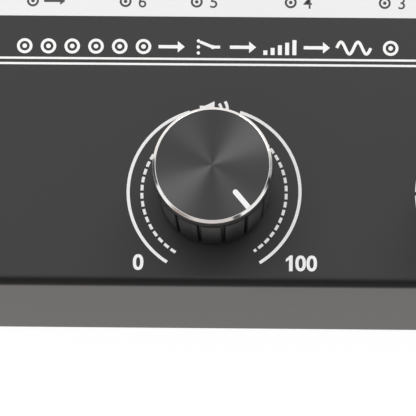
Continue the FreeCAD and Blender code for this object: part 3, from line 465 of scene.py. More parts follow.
class Print:
    """Flat ink shapes on the panel or on other ink, gathered in one mesh."""

    def __init__(self, base=PANEL_TOP):
        self.bm = bmesh.new()
        self.low = base - INK / 2
        self.high = base + INK

    def plate(self, x0, x1, y0, y1):
        slab(self.bm, [(x0, y0), (x1, y0), (x1, y1), (x0, y1)], self.low, self.high)

    def shape(self, outline):
        slab(self.bm, outline, self.low, self.high)

    def arc(self, centre, radius, width, clock_from, clock_to, steps=None):
        """A curved line between two clock angles, or a whole ring."""
        sweep = clock_to - clock_from
        steps = steps or max(3, int(abs(sweep) / 2.5))
        closed = abs(sweep) > 359.9
        clocks = [clock_from + sweep * step / steps for step in range(steps if closed else steps + 1)]
        band(self.bm, [clock_place(centre, radius - width / 2, clock) for clock in clocks],
             [clock_place(centre, radius + width / 2, clock) for clock in clocks],
             self.low, self.high, closed)

    def dot(self, centre, radius):
        self.shape([clock_place(centre, radius, -clock) for clock in even_clocks(28)])
        self.high += INK_STEP

    def line(self, points, width):
        """A line of even width through points, with mitred corners."""
        near, far = [], []
        for index, here in enumerate(points):
            before = Vector(points[max(index - 1, 0)])
            after = Vector(points[min(index + 1, len(points) - 1)])
            along = (after - before).normalized()
            side = Vector((-along.y, along.x))
            near.append(tuple(Vector(here) - side * width / 2))
            far.append(tuple(Vector(here) + side * width / 2))
        band(self.bm, near, far, self.low, self.high)
        self.high += INK_STEP

    def number(self, text, x, y, height, weight):
        """A plain number centred on x that stands on y. Weight thickens its strokes."""
        curve = bpy.data.curves.new("number", "FONT")
        curve.body = text
        curve.offset = weight
        curve.resolution_u = 6  # finer outlines leave slivers in the digits
        holder = bpy.data.objects.new("number", curve)
        flat = bpy.data.meshes.new_from_object(holder)
        xs = [vert.co.x for vert in flat.vertices]
        ys = [vert.co.y for vert in flat.vertices]
        scale = height / (max(ys) - min(ys))
        flat.transform(Matrix.Translation((x, y, self.high)) @ Matrix.Diagonal((scale, scale, 1.0, 1.0))
                       @ Matrix.Translation((-(max(xs) + min(xs)) / 2, -min(ys), 0.0)))
        loose = bmesh.new()
        loose.from_mesh(flat)
        grown = bmesh.ops.extrude_face_region(loose, geom=loose.faces[:])
        lowered = [item for item in grown["geom"] if isinstance(item, bmesh.types.BMVert)]
        bmesh.ops.translate(loose, verts=lowered, vec=(0.0, 0.0, self.low - self.high))
        loose.to_mesh(flat)
        loose.free()
        self.bm.from_mesh(flat)
        bpy.data.objects.remove(holder)
        bpy.data.curves.remove(curve)
        bpy.data.meshes.remove(flat)

    def zero(self, x, y, width, height, stroke):
        """A bold 0 centred on x that stands on y, with its oval a little squared."""
        fullness = 0.86

        def oval(half_width, half_height):
            places = [clock_place((0.0, 0.0), 1.0, clock) for clock in even_clocks(48)]
            return [(x + half_width * math.copysign(abs(across) ** fullness, across),
                     y + height / 2 + half_height * math.copysign(abs(up) ** fullness, up))
                    for across, up in places]

        band(self.bm, oval(width / 2 - stroke, height / 2 - stroke * 0.95), oval(width / 2, height / 2),
             self.low, self.high, True)

    def one(self, right, y, height, stroke):
        """A bold 1 whose stem ends at the right."""
        left = right - stroke
        self.shape([(left, y), (right, y), (right, y + height), (right - stroke * 0.72, y + height),
                    (left - stroke * 0.88, y + height * 0.76), (left - stroke * 0.88, y + height * 0.58),
                    (left, y + height * 0.72)])

    # Plain pictograms, each in a cell of the given height round x, y

    def socket(self, x, y, height):
        self.arc((x, y), height * 0.41, height * 0.18, 0.0, 360.0, 40)
        self.dot((x, y), height * 0.15)

    def arrow(self, x, y, height, length):
        """An arrow to the right."""
        tail, tip, neck = x - length / 2, x + length / 2, x + length / 2 - height * 0.45
        stroke, barb = height * 0.11, height * 0.38
        self.shape([(tail, y - stroke), (neck, y - stroke), (neck, y - barb), (tip, y),
                    (neck, y + barb), (neck, y + stroke), (tail, y + stroke)])

    def wave(self, x, y, height, length, stroke):
        """Two periods of a wave."""
        shares = [step / 48 for step in range(49)]
        self.line([(x + (share - 0.5) * length,
                    y + math.sin(share * 4 * math.pi) * (height - stroke) / 2) for share in shares], stroke)

    def steps(self, x, y, height, width):
        """Five bars that grow to the right, for loudness."""
        bar = 0.55
        pitch = width / (4 + bar)
        foot = y - height / 2
        for step in range(5):
            left = x - width / 2 + pitch * step
            self.plate(left, left + pitch * bar, foot, foot + height * (0.3 + 0.7 * step / 4))

    def speaker(self, x, y, height, width, stroke):
        """A horn with two sound waves."""
        left, mouth, half = x - width / 2, x - width * 0.02, height / 2
        neck, small = left + width * 0.17, half * 0.42
        self.shape([(left, y - small), (neck, y - small), (mouth, y - half),
                    (mouth, y + half), (neck, y + small), (left, y + small)])
        for radius, reach in ((width * 0.26, 44.0), (width * 0.46, 34.0)):
            self.arc((mouth - width * 0.04, y), radius, stroke, 90.0 - reach, 90.0 + reach)

    def switch(self, x, y, height, stroke):
        """An arm that joins one of three contacts to one wire."""
        left, pivot = x - height * 0.62, x + height * 0.3
        for row in (-1, 0, 1):
            self.dot((left, y + row * height * 0.4), height * 0.11)
        self.dot((pivot, y), height * 0.13)
        self.line([(left + height * 0.1, y + height * 0.34), (pivot, y)], stroke)
        self.line([(pivot, y), (x + height * 0.78, y)], stroke)

    def piece(self, name, material):
        mesh_piece(name, self.bm, material, "case")


# Sizes and colours that a user would change


def value_kind(make, **settings):
    """A short way to write one kind of value: its name, its description and its default."""
    def value(name, description, default):
        return make(name=name, description=description, default=default, **settings)
    return value


length_value = value_kind(bpy.props.FloatProperty, unit="LENGTH", precision=5, min=0.0)
place_value = value_kind(bpy.props.FloatProperty, unit="LENGTH", precision=5)
share_value = value_kind(bpy.props.FloatProperty, subtype="FACTOR", min=0.0, max=1.0)
power_value = value_kind(bpy.props.FloatProperty, unit="POWER", min=0.0)
strength_value = value_kind(bpy.props.FloatProperty, min=0.0)
lens_value = value_kind(bpy.props.FloatProperty, unit="CAMERA", min=1.0)
turn_value = value_kind(bpy.props.FloatProperty, subtype="ANGLE")
count_value = value_kind(bpy.props.IntProperty, min=3)
colour_value = value_kind(bpy.props.FloatVectorProperty, subtype="COLOR", size=3, min=0.0, max=1.0)
spot_value = value_kind(bpy.props.FloatVectorProperty, subtype="TRANSLATION", size=3, precision=5)


class CaseLooks(bpy.types.PropertyGroup):
    """Coat of the folded case and its base."""

    coat: colour_value("Coat", "Colour of the powder coat", (0.0105, 0.0105, 0.0105))
    coat_roughness: share_value("Coat roughness", "Roughness of the powder coat", 0.42)
    rubber: colour_value("Feet", "Colour of the rubber feet", (0.018, 0.018, 0.018))


class PrintLooks(bpy.types.PropertyGroup):
    """Screen print on the panel. Places are measured from the case's middle, to the rear or to the right."""

    ink: colour_value("Ink", "Colour of the white ink of the lines and signs", (0.97, 0.97, 0.965))
    strip_ink: colour_value("Strip ink", "Colour of the white strip", (0.87, 0.875, 0.87))
    dark_ink: colour_value("Dark ink", "Colour of the numbers on the white strip", (0.05, 0.05, 0.052))
    strip_front: place_value("Strip front", "Front edge of the white strip", 19.22 * MM)
    strip_rear: place_value("Strip rear", "Rear edge of the white strip", 26.4 * MM)
    strip_side: length_value("Strip half width", "Half the width of the white strip", 75.9 * MM)
    label_foot: place_value("Label foot", "Line that the strip's numbers stand on", 21.1 * MM)
    label_height: length_value("Label height", "Height of the strip's numbers", 2.6 * MM)
    legend_foot: place_value("Legend foot", "Line that the signs stand on", 11.15 * MM)
    legend_height: length_value("Legend height", "Height of the signs", 3.2 * MM)
    legend_left: place_value("Legend left", "Middle of the first sign", -68.9 * MM)
    legend_pitch: length_value("Legend pitch", "Distance between the first six signs", 4.9 * MM)
    rear_line: place_value("Rear line", "Middle of the rear line of the pair", 10.17 * MM)
    front_line: place_value("Front line", "Middle of the front line of the pair", 9.02 * MM)
    line_width: length_value("Line width", "Width of each of the two lines", 0.46 * MM)


class DialLooks(bpy.types.PropertyGroup):
    """Rings and numbers round the two knobs."""

    arc_radius: length_value("Arc radius", "Radius of the solid arcs, at their middle", 17.58 * MM)
    arc_width: length_value("Arc width", "Width of the solid arcs", 0.65 * MM)
    arc_start: turn_value("Arc start", "Clock angle at which each solid arc starts", math.radians(17.0))
    arc_end: turn_value("Arc end", "Clock angle at which each solid arc ends", math.radians(147.5))
    arc_lift: place_value("Arc lift", "How far behind the dial's centre the volume arcs are", 0.08 * MM)
    dash_drop: place_value("Dash drop", "How far in front of the dial's centre the dashes are", 0.09 * MM)
    dash_radius: length_value("Dash radius", "Radius of the dashed arc, at its middle", 14.77 * MM)
    dash_width: length_value("Dash width", "Width of the dashed arc", 0.6 * MM)
    dash_start: turn_value("Dash start", "Clock angle of the first dash", math.radians(-148.5))
    dash_pitch: turn_value("Dash pitch", "Clock angle from one dash to the next", math.radians(6.64))
    dash_length: turn_value("Dash length", "Clock angle that each dash takes", math.radians(4.6))
    dash_count: count_value("Dash count", "Number of dashes", 45)
    number_height: length_value("Number height", "Height of the numbers at the ends", 3.3 * MM)
    number_drop: length_value("Number drop", "From the dial's centre to those numbers' foot", 16.45 * MM)
    speaker_distance: length_value("Speaker distance", "From the volume dial's centre to its sign",
                                   17.55 * MM)
    switch_distance: length_value("Switch distance", "From the source dial's centre to its sign", 17.0 * MM)
    segment_gap: length_value("Segment gap", "Gap between the source dial's segments", 0.75 * MM)
    source_radius: length_value("Source numbers", "Radius that the source numbers stand on", 14.6 * MM)


class KnobLooks(bpy.types.PropertyGroup):
    """Shape and finish of the two knobs."""

    land_count: count_value("Lands", "Number of lands round the body", 15)
    groove_width: length_value("Groove width", "Width of the grooves between the lands", 0.7 * MM)
    groove_depth: length_value("Groove depth", "Depth of the grooves between the lands", 0.85 * MM)
    neck_height: length_value("Neck height", "Height of the plain neck under the cap", 0.7 * MM)
    groove_turn: turn_value("Groove turn", "Clock angle from the pointer to a groove", math.radians(5.2))
    chamfer: length_value("Bevel", "Width and height of the bright bevel", 0.5 * MM)
    pointer_start: length_value("Pointer start", "Distance from the centre to the pointer", 6.75 * MM)
    pointer_width: length_value("Pointer width", "Width of the pointer", 1.08 * MM)
    body: colour_value("Body", "Colour of the moulded body", (0.008, 0.008, 0.0082))
    top: colour_value("Top", "Colour of the spun top", (0.094, 0.093, 0.093))
    bevel: colour_value("Bevel colour", "Colour of the bright bevel", (0.93, 0.92, 0.91))
    pointer: colour_value("Pointer colour", "Colour of the pointer's paint", (0.88, 0.88, 0.875))


class SocketLooks(bpy.types.PropertyGroup):
    """Finish of the rear sockets."""

    nickel: colour_value("Nickel", "Colour of the plated sleeves", (0.72, 0.69, 0.64))
    white: colour_value("White", "Colour of the upper sockets' insulators", (0.78, 0.78, 0.76))
    red: colour_value("Red", "Colour of the lower sockets' insulators", (0.5, 0.018, 0.02))


class StageLooks(bpy.types.PropertyGroup):
    """Floor, light and camera."""

    floor: colour_value("Floor", "Colour of the floor", (0.9, 0.895, 0.89))
    daylight: strength_value("World light", "Strength of the light, which fades towards the horizon", 1.22)
    key_power: power_value("Key lamp", "Power of the lamp behind to the right", 12.5)
    key_place: spot_value("Key lamp place", "Middle of the lamp behind to the right", (0.69, 0.93, 0.96))
    key_width: length_value("Key lamp width", "Width of the lamp behind to the right", 0.86)
    fill_power: power_value("Fill lamp", "Power of the lamp behind to the left", 4.5)
    fill_place: spot_value("Fill lamp place", "Middle of the lamp behind to the left", (-0.55, 1.05, 0.92))
    fill_width: length_value("Fill lamp width", "Width of the lamp behind to the left", 0.62)
    lens: lens_value("Lens", "Focal length of the camera", 423.4)
    camera_place: spot_value("Camera place", "Where the camera stands", (-0.01225, -0.25404, 1.01688))
    camera_pitch: turn_value("Camera pitch", "Turn up from straight down", math.radians(13.458))
    camera_yaw: turn_value("Camera yaw", "Turn to the right", math.radians(-1.057))
    camera_roll: turn_value("Camera roll", "Turn about the line of sight", math.radians(0.461))


# Operators, one for each piece or group of like pieces


class SELECTOR_OT_case(bpy.types.Operator):
    """Finish the folded case, its base plate, screws and feet"""

    bl_idname = "selector.case"
    bl_label = "Case"

    def execute(self, context):
        looks = context.scene.case_looks
        dress(("upper_shell", "base_plate"),
              finish("powder_coat", powder_coat(looks.coat, looks.coat_roughness)))
        dress(("rubber_feet",), finish("foot_rubber", moulded(looks.rubber, 0.75, 0.4 * MM, 0.01 * MM)))
        dress(("base_screws", "jack_screws"), finish("black_zinc", plated((0.05, 0.05, 0.052), 0.38)))
        return {"FINISHED"}


class SELECTOR_OT_panel_print(bpy.types.Operator):
    """Print the white strip with its numbers, the row of signs and the double line"""

    bl_idname = "selector.panel_print"
    bl_label = "Panel print"

    def execute(self, context):
        looks = context.scene.print_looks
        white = white_ink(context)
        strip = Print()
        strip.plate(-looks.strip_side, looks.strip_side, looks.strip_front, looks.strip_rear)
        strip.piece("white_strip", finish("strip_ink", screen_ink(looks.strip_ink)))
        lines = Print()
        for middle in (looks.rear_line, looks.front_line):
            lines.plate(-looks.strip_side, looks.strip_side, middle - looks.line_width / 2,
                        middle + looks.line_width / 2)
        lines.piece("double_line", white)
        self.labels(looks).piece("strip_numbers", finish("dark_ink", screen_ink(looks.dark_ink)))
        self.legend(looks).piece("sign_row", white)
        return {"FINISHED"}

    @staticmethod
    def labels(looks):
        """A number and a socket sign over each input, and an arrow that leaves over the output."""
        labels = Print(PANEL_TOP + INK)
        height = looks.label_height
        middle = looks.label_foot + height / 2
        sign_left, number_right, weight = 1.45 * MM, 2.05 * MM, 0.004
        places = {"6": middle_x("aux_jack_nose")}
        for name in INPUT_PAIRS:
            places[name[-1]] = middle_x(name + "_jacks")
        for text, x in places.items():
            labels.number(text, x + number_right, looks.label_foot, height, weight)
            labels.socket(x - sign_left, middle, height * 0.95)
        output_left, arrow_right, arrow_length = 2.6 * MM, 1.9 * MM, 4.4 * MM
        x = middle_x("output_jacks")
        labels.socket(x - output_left, middle, height * 0.95)
        labels.arrow(x + arrow_right, middle, height * 0.9, arrow_length)
        return labels

    @staticmethod
    def legend(looks):
        """What the box does, in plain signs: six sources, a switch, a level and one output."""
        row = Print()
        height = looks.legend_height
        y = looks.legend_foot + height / 2
        for source in range(6):
            row.socket(looks.legend_left + source * looks.legend_pitch, y, height)
        x = looks.legend_left + 6 * looks.legend_pitch
        arrow, bars, wave, stroke = 5.4 * MM, 6.8 * MM, 7.0 * MM, 0.62 * MM
        for right, sign, *sizes in ((0.9 * MM, row.arrow, arrow), (8.4 * MM, row.switch, stroke),
                                    (15.6 * MM, row.arrow, arrow), (23.2 * MM, row.steps, bars),
                                    (30.8 * MM, row.arrow, arrow), (38.4 * MM, row.wave, wave, stroke),
                                    (46.0 * MM, row.socket)):
            sign(x + right, y, height, *sizes)
        return row


class SELECTOR_OT_volume_dial(bpy.types.Operator):
    """Print the volume dial's arcs, dashes and end numbers"""

    bl_idname = "selector.volume_dial"
    bl_label = "Volume dial"

    def execute(self, context):
        looks = context.scene.dial_looks
        dial = Print()
        start, end = math.degrees(looks.arc_start), math.degrees(looks.arc_end)
        arcs = (VOLUME.x, VOLUME.y + looks.arc_lift)
        dashes = (VOLUME.x, VOLUME.y - looks.dash_drop)
        for side in (-1, 1):
            dial.arc(arcs, looks.arc_radius, looks.arc_width, side * start, side * end)
        first, pitch = math.degrees(looks.dash_start), math.degrees(looks.dash_pitch)
        length, last = math.degrees(looks.dash_length), end - 1.5
        for step in range(looks.dash_count):
            clock = first + pitch * step
            dial.arc(dashes, looks.dash_radius, looks.dash_width, clock, min(clock + length, last), 3)
        foot = VOLUME.y - looks.number_drop
        height, stroke = looks.number_height, looks.number_height * 0.2
        low_zero, one_right, tens_zero, last_zero = (VOLUME.x + x * MM for x in (-15.31, 16.2, 17.82, 20.08))
        dial.zero(low_zero, foot, height * 0.65, height, stroke)
        dial.one(one_right, foot, height, stroke * 1.12)
        for x in (tens_zero, last_zero):
            dial.zero(x, foot, height * 0.65, height, stroke)
        sign_height, sign_width, sign_stroke = 3.3 * MM, 6.3 * MM, 0.6 * MM
        dial.speaker(VOLUME.x, VOLUME.y + looks.speaker_distance, sign_height, sign_width, sign_stroke)
        dial.piece("volume_dial_print", white_ink(context))
        return {"FINISHED"}


class SELECTOR_OT_source_dial(bpy.types.Operator):
    """Print the source dial's six segments and their numbers"""

    bl_idname = "selector.source_dial"
    bl_label = "Source dial"

    def execute(self, context):
        looks = context.scene.dial_looks
        dial = Print()
        half = SOURCE_STEP / 2 - math.degrees(looks.segment_gap / looks.arc_radius) / 2
        height, weight = 2.4 * MM, 0.018
        for step in range(6):
            clock = SOURCE_CLOCK + SOURCE_STEP * step
            dial.arc(SOURCE, looks.arc_radius, looks.arc_width, clock - half, clock + half)
            x, y = clock_place(SOURCE, looks.source_radius, clock)
            dial.number(str(step + 1), x, y - height / 2, height, weight)
        sign_height, sign_stroke = 3.3 * MM, 0.55 * MM
        dial.switch(SOURCE.x, SOURCE.y - looks.switch_distance, sign_height, sign_stroke)
        dial.piece("source_dial_print", white_ink(context))
        return {"FINISHED"}


class SELECTOR_OT_knobs(bpy.types.Operator):
    """Build both knobs: lands, spun cap, bright bevel and pointer"""

    bl_idname = "selector.knobs"
    bl_label = "Knobs"

    def execute(self, context):
        looks = context.scene.knob_looks
        for side, body, clock in (("volume", "volume_knob", VOLUME_CLOCK),
                                  ("selector", "source_knob", SOURCE_CLOCK)):
            place = (DIAL[body].x, DIAL[body].y, 0.0)
            self.body(looks, side, body, clock, place)
            self.cap(looks, side, body, place)
            self.bevel(looks, side, body, place)
            self.pointer(looks, side, body, clock, place)
        return {"FINISHED"}

    @staticmethod
    def body(looks, side, body, clock, place):
        """The moulded body: lands outside, and a hollow with boss and ribs below."""
        # Places across a groove and the land beside it, each with its share of the groove's depth
        pitch = 360.0 / looks.land_count
        half = looks.groove_width / 2
        edge = [(0.0, 1.0), (half * 0.62, 1.0), (half * 0.88, 0.85), (half * 1.02, 0.5), (half * 1.2, 0.17),
                (half * 1.55, 0.03), (half * 2.1, 0.0)]
        land_half = BODY_RADIUS * math.radians(pitch) / 2
        plain = [edge[-1][0] + (land_half - edge[-1][0]) * share for share in (0.34, 0.67)]
        steps = sorted([(-offset, depth) for offset, depth in edge[1:]] + edge
                       + [(sign * offset, 0.0) for sign in (-1, 1) for offset in plain]
                       + [(land_half, 0.0)])
        first = clock + math.degrees(looks.groove_turn)
        depths = {first + pitch * groove + math.degrees(offset / BODY_RADIUS): depth
                  for groove in range(looks.land_count) for offset, depth in steps}

        taper, rim, lip, soft, fine = 0.8 * MM, 1.0 * MM, 0.25 * MM, 0.3 * MM, 0.05 * MM
        neck_step, side_wall, roof_wall, bore_wall = 0.2 * MM, 2.2 * MM, 2.0 * MM, 2.45 * MM
        neck = BODY_RADIUS - looks.groove_depth - neck_step
        hollow = neck - side_wall
        roof = CAP_LOW - roof_wall
        shoulder = CAP_LOW - looks.neck_height

        def wall(height):
            return BODY_RADIUS - taper * (shoulder - height) / (CAP_LOW - BODY_LOW)

        def reach(radius, height, column):
            return min(radius, wall(height) - looks.groove_depth * depths[column])

        turns = [math.radians(22.5 * step) for step in range(5)]
        foot = [(wall(BODY_LOW) - rim * (1.0 - math.sin(turn)), BODY_LOW + rim * (1.0 - math.cos(turn)))
                for turn in turns]
        heights = (BODY_LOW + 6.0 * MM, BODY_LOW + 12.0 * MM, shoulder - soft, shoulder - soft / 2)
        top = wall(shoulder)
        profile = [(0.0, roof), (hollow - soft, roof), (hollow, roof - soft),
                   (hollow, BODY_LOW + lip), (hollow + lip, BODY_LOW),
                   *foot, *((wall(height), height) for height in heights),
                   (top - fine, shoulder - 0.04 * MM), (top - soft / 2, shoulder),
                   (neck + fine, shoulder), (neck, shoulder + fine), (neck, CAP_LOW), (0.0, CAP_LOW)]
        bm = bmesh.new()
        turn_profile(bm, profile, list(depths), reach)

        shaft, boss, rib, rib_rise, overlap = 3.0 * MM, 5.0 * MM, 1.0 * MM, 2.0 * MM, 0.2 * MM
        ring_room = 0.8 * MM
        boss_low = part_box(side + "_retaining_ring")[1].z + ring_room
        bore_high = CAP_LOW - bore_wall
        high = roof + overlap
        turned = rounded([(shaft, bore_high), (shaft, boss_low), (boss, boss_low), (boss, high)], lip)
        turn_profile(bm, [(0.0, bore_high), *turned, (0.0, high)], even_clocks(48))
        low = boss_low + rib_rise
        rib_start, rib_end = boss - overlap, hollow + overlap
        shape = (Matrix.Translation((0.0, (rib_start + rib_end) / 2, (low + high) / 2))
                 @ Matrix.Diagonal((rib, rib_end - rib_start, high - low, 1.0)))
        for clockwise in even_clocks(6):
            made = bmesh.ops.create_cube(bm, size=1.0)["verts"]
            turn = Matrix.Rotation(math.radians(-clockwise), 4, "Z")
            bmesh.ops.transform(bm, matrix=turn @ shape, verts=made)
        material = finish("knob_moulding", moulded(looks.body, 0.43, 0.5 * MM, 0.002 * MM))
        mesh_piece(side + "_knob_lands", bm, material, body,
                   (side + "_knob_body",), place, 40.0)

    @staticmethod
    def cap(looks, side, body, place):
        """The spun cap, without its bright bevel."""
        step = CAP_HIGH - looks.chamfer - BEVEL_EDGE
        inner = CAP_RADIUS - looks.chamfer - BEVEL_EDGE
        bm = bmesh.new()
        rim = rounded([(BODY_RADIUS - 1.0 * MM, CAP_LOW), (CAP_RADIUS, CAP_LOW), (CAP_RADIUS, step)],
                      0.15 * MM)
        face = [(inner * share, CAP_FACE) for share in (1.0, 0.97, 0.8, 0.6, 0.4, 0.2, 0.08, 0.0)]
        turn_profile(bm, [(0.0, CAP_LOW), *rim, (inner, step), *face], even_clocks(144))
        material = finish("spun_black", spun_metal(looks.top, 0.5, 0.95, 0.12 * MM))
        mesh_piece(side + "_knob_top", bm, material, body,
                   (side + "_knob_cap",), place, 30.0)

    @staticmethod
    def bevel(looks, side, body, place):
        """The bright bevel cut round the cap's edge, with its two fine edges broken."""
        inner = CAP_RADIUS - looks.chamfer
        low = CAP_HIGH - looks.chamfer
        bm = bmesh.new()
        profile = rounded([(inner - BEVEL_EDGE, CAP_FACE), (inner, CAP_FACE), (CAP_RADIUS, low),
                           (CAP_RADIUS, low - BEVEL_EDGE)], 0.035 * MM, 2)
        hidden = (inner - BEVEL_EDGE, low - BEVEL_EDGE)
        turn_profile(bm, [hidden, *profile, hidden], even_clocks(180))
        material = finish("cut_bevel", plated(looks.bevel, 0.08, 0.4 * MM, 0.0002 * MM))
        mesh_piece(side + "_knob_bevel", bm, material, body, (), place, 60.0)

    @staticmethod
    def pointer(looks, side, body, clock, place):
        """White paint in the pointer's groove, from its round end to the bevel."""
        half = looks.pointer_width / 2
        start = looks.pointer_start + half
        end = CAP_RADIUS - looks.chamfer - 0.02 * MM
        round_end = [clock_place((0.0, start), half, 270.0 - 15.0 * step) for step in range(1, 12)]
        outline = [(half, start), (half, end), (-half, end), (-half, start), *round_end]
        turn = Matrix.Rotation(math.radians(-clock), 2)
        depth = 0.2 * MM
        bm = bmesh.new()
        slab(bm, [tuple(turn @ Vector(corner)) for corner in outline], CAP_HIGH - depth, CAP_HIGH)
        material = finish("pointer_paint", screen_ink(looks.pointer))
        mesh_piece(side + "_knob_pointer", bm, material, body, place=place)


class SELECTOR_OT_controls(bpy.types.Operator):
    """Finish the volume control, the source switch and what holds them"""

    bl_idname = "selector.controls"
    bl_label = "Controls"

    def execute(self, context):
        bushing, pitch, depth = 3.5 * MM, 0.75 * MM, 0.25 * MM
        for side, centre in (("volume", VOLUME), ("selector", SOURCE)):
            thread = threaded((0.5, 0.5, 0.52), 0.42, centre, bushing, pitch, depth)
            dress((side + "_bushing",), finish(side + "_bushing_thread", thread))
        dress(("volume_lock_washer", "selector_lock_washer", "volume_nut", "selector_nut",
               "volume_rear_cover", "volume_retaining_ring", "selector_retaining_ring",
               "selector_detent_springs", "selector_detent_balls"),
              finish("nickel_steel", plated((0.58, 0.57, 0.55), 0.28)))
        dress(("volume_shaft", "selector_shaft"), finish("turned_alloy", plated((0.74, 0.74, 0.75), 0.32)))
        dress(("volume_housings", "selector_detent_housing", "selector_spacers", "selector_rear_cover"),
              black_moulding())
        dress(("volume_rotors", "selector_detent_rotor", "selector_rotors"),
              finish("natural_resin", moulded((0.74, 0.71, 0.63), 0.42)))
        dress(("volume_track_boards", "selector_wafers"),
              finish("phenolic", laminate((0.26, 0.12, 0.04), 0.6 * MM)))
        dress(("volume_tracks",), finish("carbon_track", moulded((0.018, 0.018, 0.019), 0.6, 0.2 * MM)))
        dress(("volume_wipers", "selector_moving_contacts"), spring_bronze())
        return {"FINISHED"}


class SELECTOR_OT_sockets(bpy.types.Operator):
    """Finish the phono sockets and the 3.5 mm socket"""

    bl_idname = "selector.sockets"
    bl_label = "Rear sockets"

    def execute(self, context):
        looks = context.scene.socket_looks
        nickel = finish("polished_nickel", plated(looks.nickel, 0.16))
        dress([name + "_jacks" for name in ("output", *INPUT_PAIRS)] + ["aux_jack_body"], black_moulding())
        dress(("jack_sleeves", "aux_jack_nut"), nickel)
        self.nose(nickel)
        for level, name, colour in (("upper", "white_moulding", looks.white),
                                    ("lower", "red_moulding", looks.red)):
            dress((level + "_insulators",),
                  finish(name, moulded(colour, 0.3, 0.4 * MM, 0.002 * MM, 0.2)))
        dress(("jack_centre_contacts",), spring_bronze())
        return {"FINISHED"}

    @staticmethod
    def nose(nickel):
        """The 3.5 mm socket's threaded nose, with its thread cut as one spiral."""
        low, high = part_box("aux_jack_nose")
        middle = (low + high) / 2
        radius = (high.x - low.x) / 2
        length = high.y - low.y
        bore, room, lip, soft = 1.8 * MM, 2.1 * MM, 2.5 * MM, 0.15 * MM
        pitch, depth, steepness, chamfer = 0.5 * MM, 0.25 * MM, 2.6, 0.3 * MM
        across = 60
        rows = round(length / pitch * 6)
        bm = bmesh.new()

        def ring(height, reach):
            return [bm.verts.new((*clock_place((0.0, 0.0), reach(clock), clock), height))
                    for clock in even_clocks(across)]

        def plain(value):
            return lambda clock: value

        def cut(height):
            def reach(clock):
                turn = (height / pitch + clock / 360.0) % 1.0
                groove = max(0.0, 1.0 - abs(turn - 0.5) * steepness) * depth
                end = max(0.0, height - (length - chamfer))
                return min(radius - groove, radius - end)
            return reach

        rings = [ring(0.0, plain(room)), ring(0.0, plain(radius))]
        rings += [ring(length * row / rows, cut(length * row / rows)) for row in range(1, rows)]
        rings += [ring(length, plain(radius - chamfer)), ring(length, plain(bore + soft)),
                  ring(length - soft, plain(bore)), ring(length - lip, plain(bore)),
                  ring(length - lip, plain(room))]
        for below, above in zip(rings, rings[1:] + rings[:1]):
            for step in range(across):
                after = (step + 1) % across
                bm.faces.new((below[step], below[after], above[after], above[step]))
        bmesh.ops.transform(bm, matrix=Matrix.Rotation(math.radians(-90.0), 4, "X"), verts=bm.verts)
        mesh_piece("aux_jack_thread", bm, nickel, "case",
                   ("aux_jack_nose",), (middle.x, low.y, middle.z))


class SELECTOR_OT_board(bpy.types.Operator):
    """Finish the circuit board, its leads and the soldered contacts"""

    bl_idname = "selector.board"
    bl_label = "Board and leads"

    def execute(self, context):
        dress(("circuit_board",), finish("green_board", laminate((0.02, 0.13, 0.05), 1.2 * MM)))
        dress(("volume_leads", "selector_leads", "aux_jack_leads"),
              finish("lead_sleeving", moulded((0.3, 0.3, 0.32), 0.5)))
        dress(("volume_terminals", "selector_fixed_contacts", "jack_ground_straps", "aux_jack_contacts"),
              finish("tinned_strip", plated((0.64, 0.63, 0.6), 0.34)))
        return {"FINISHED"}


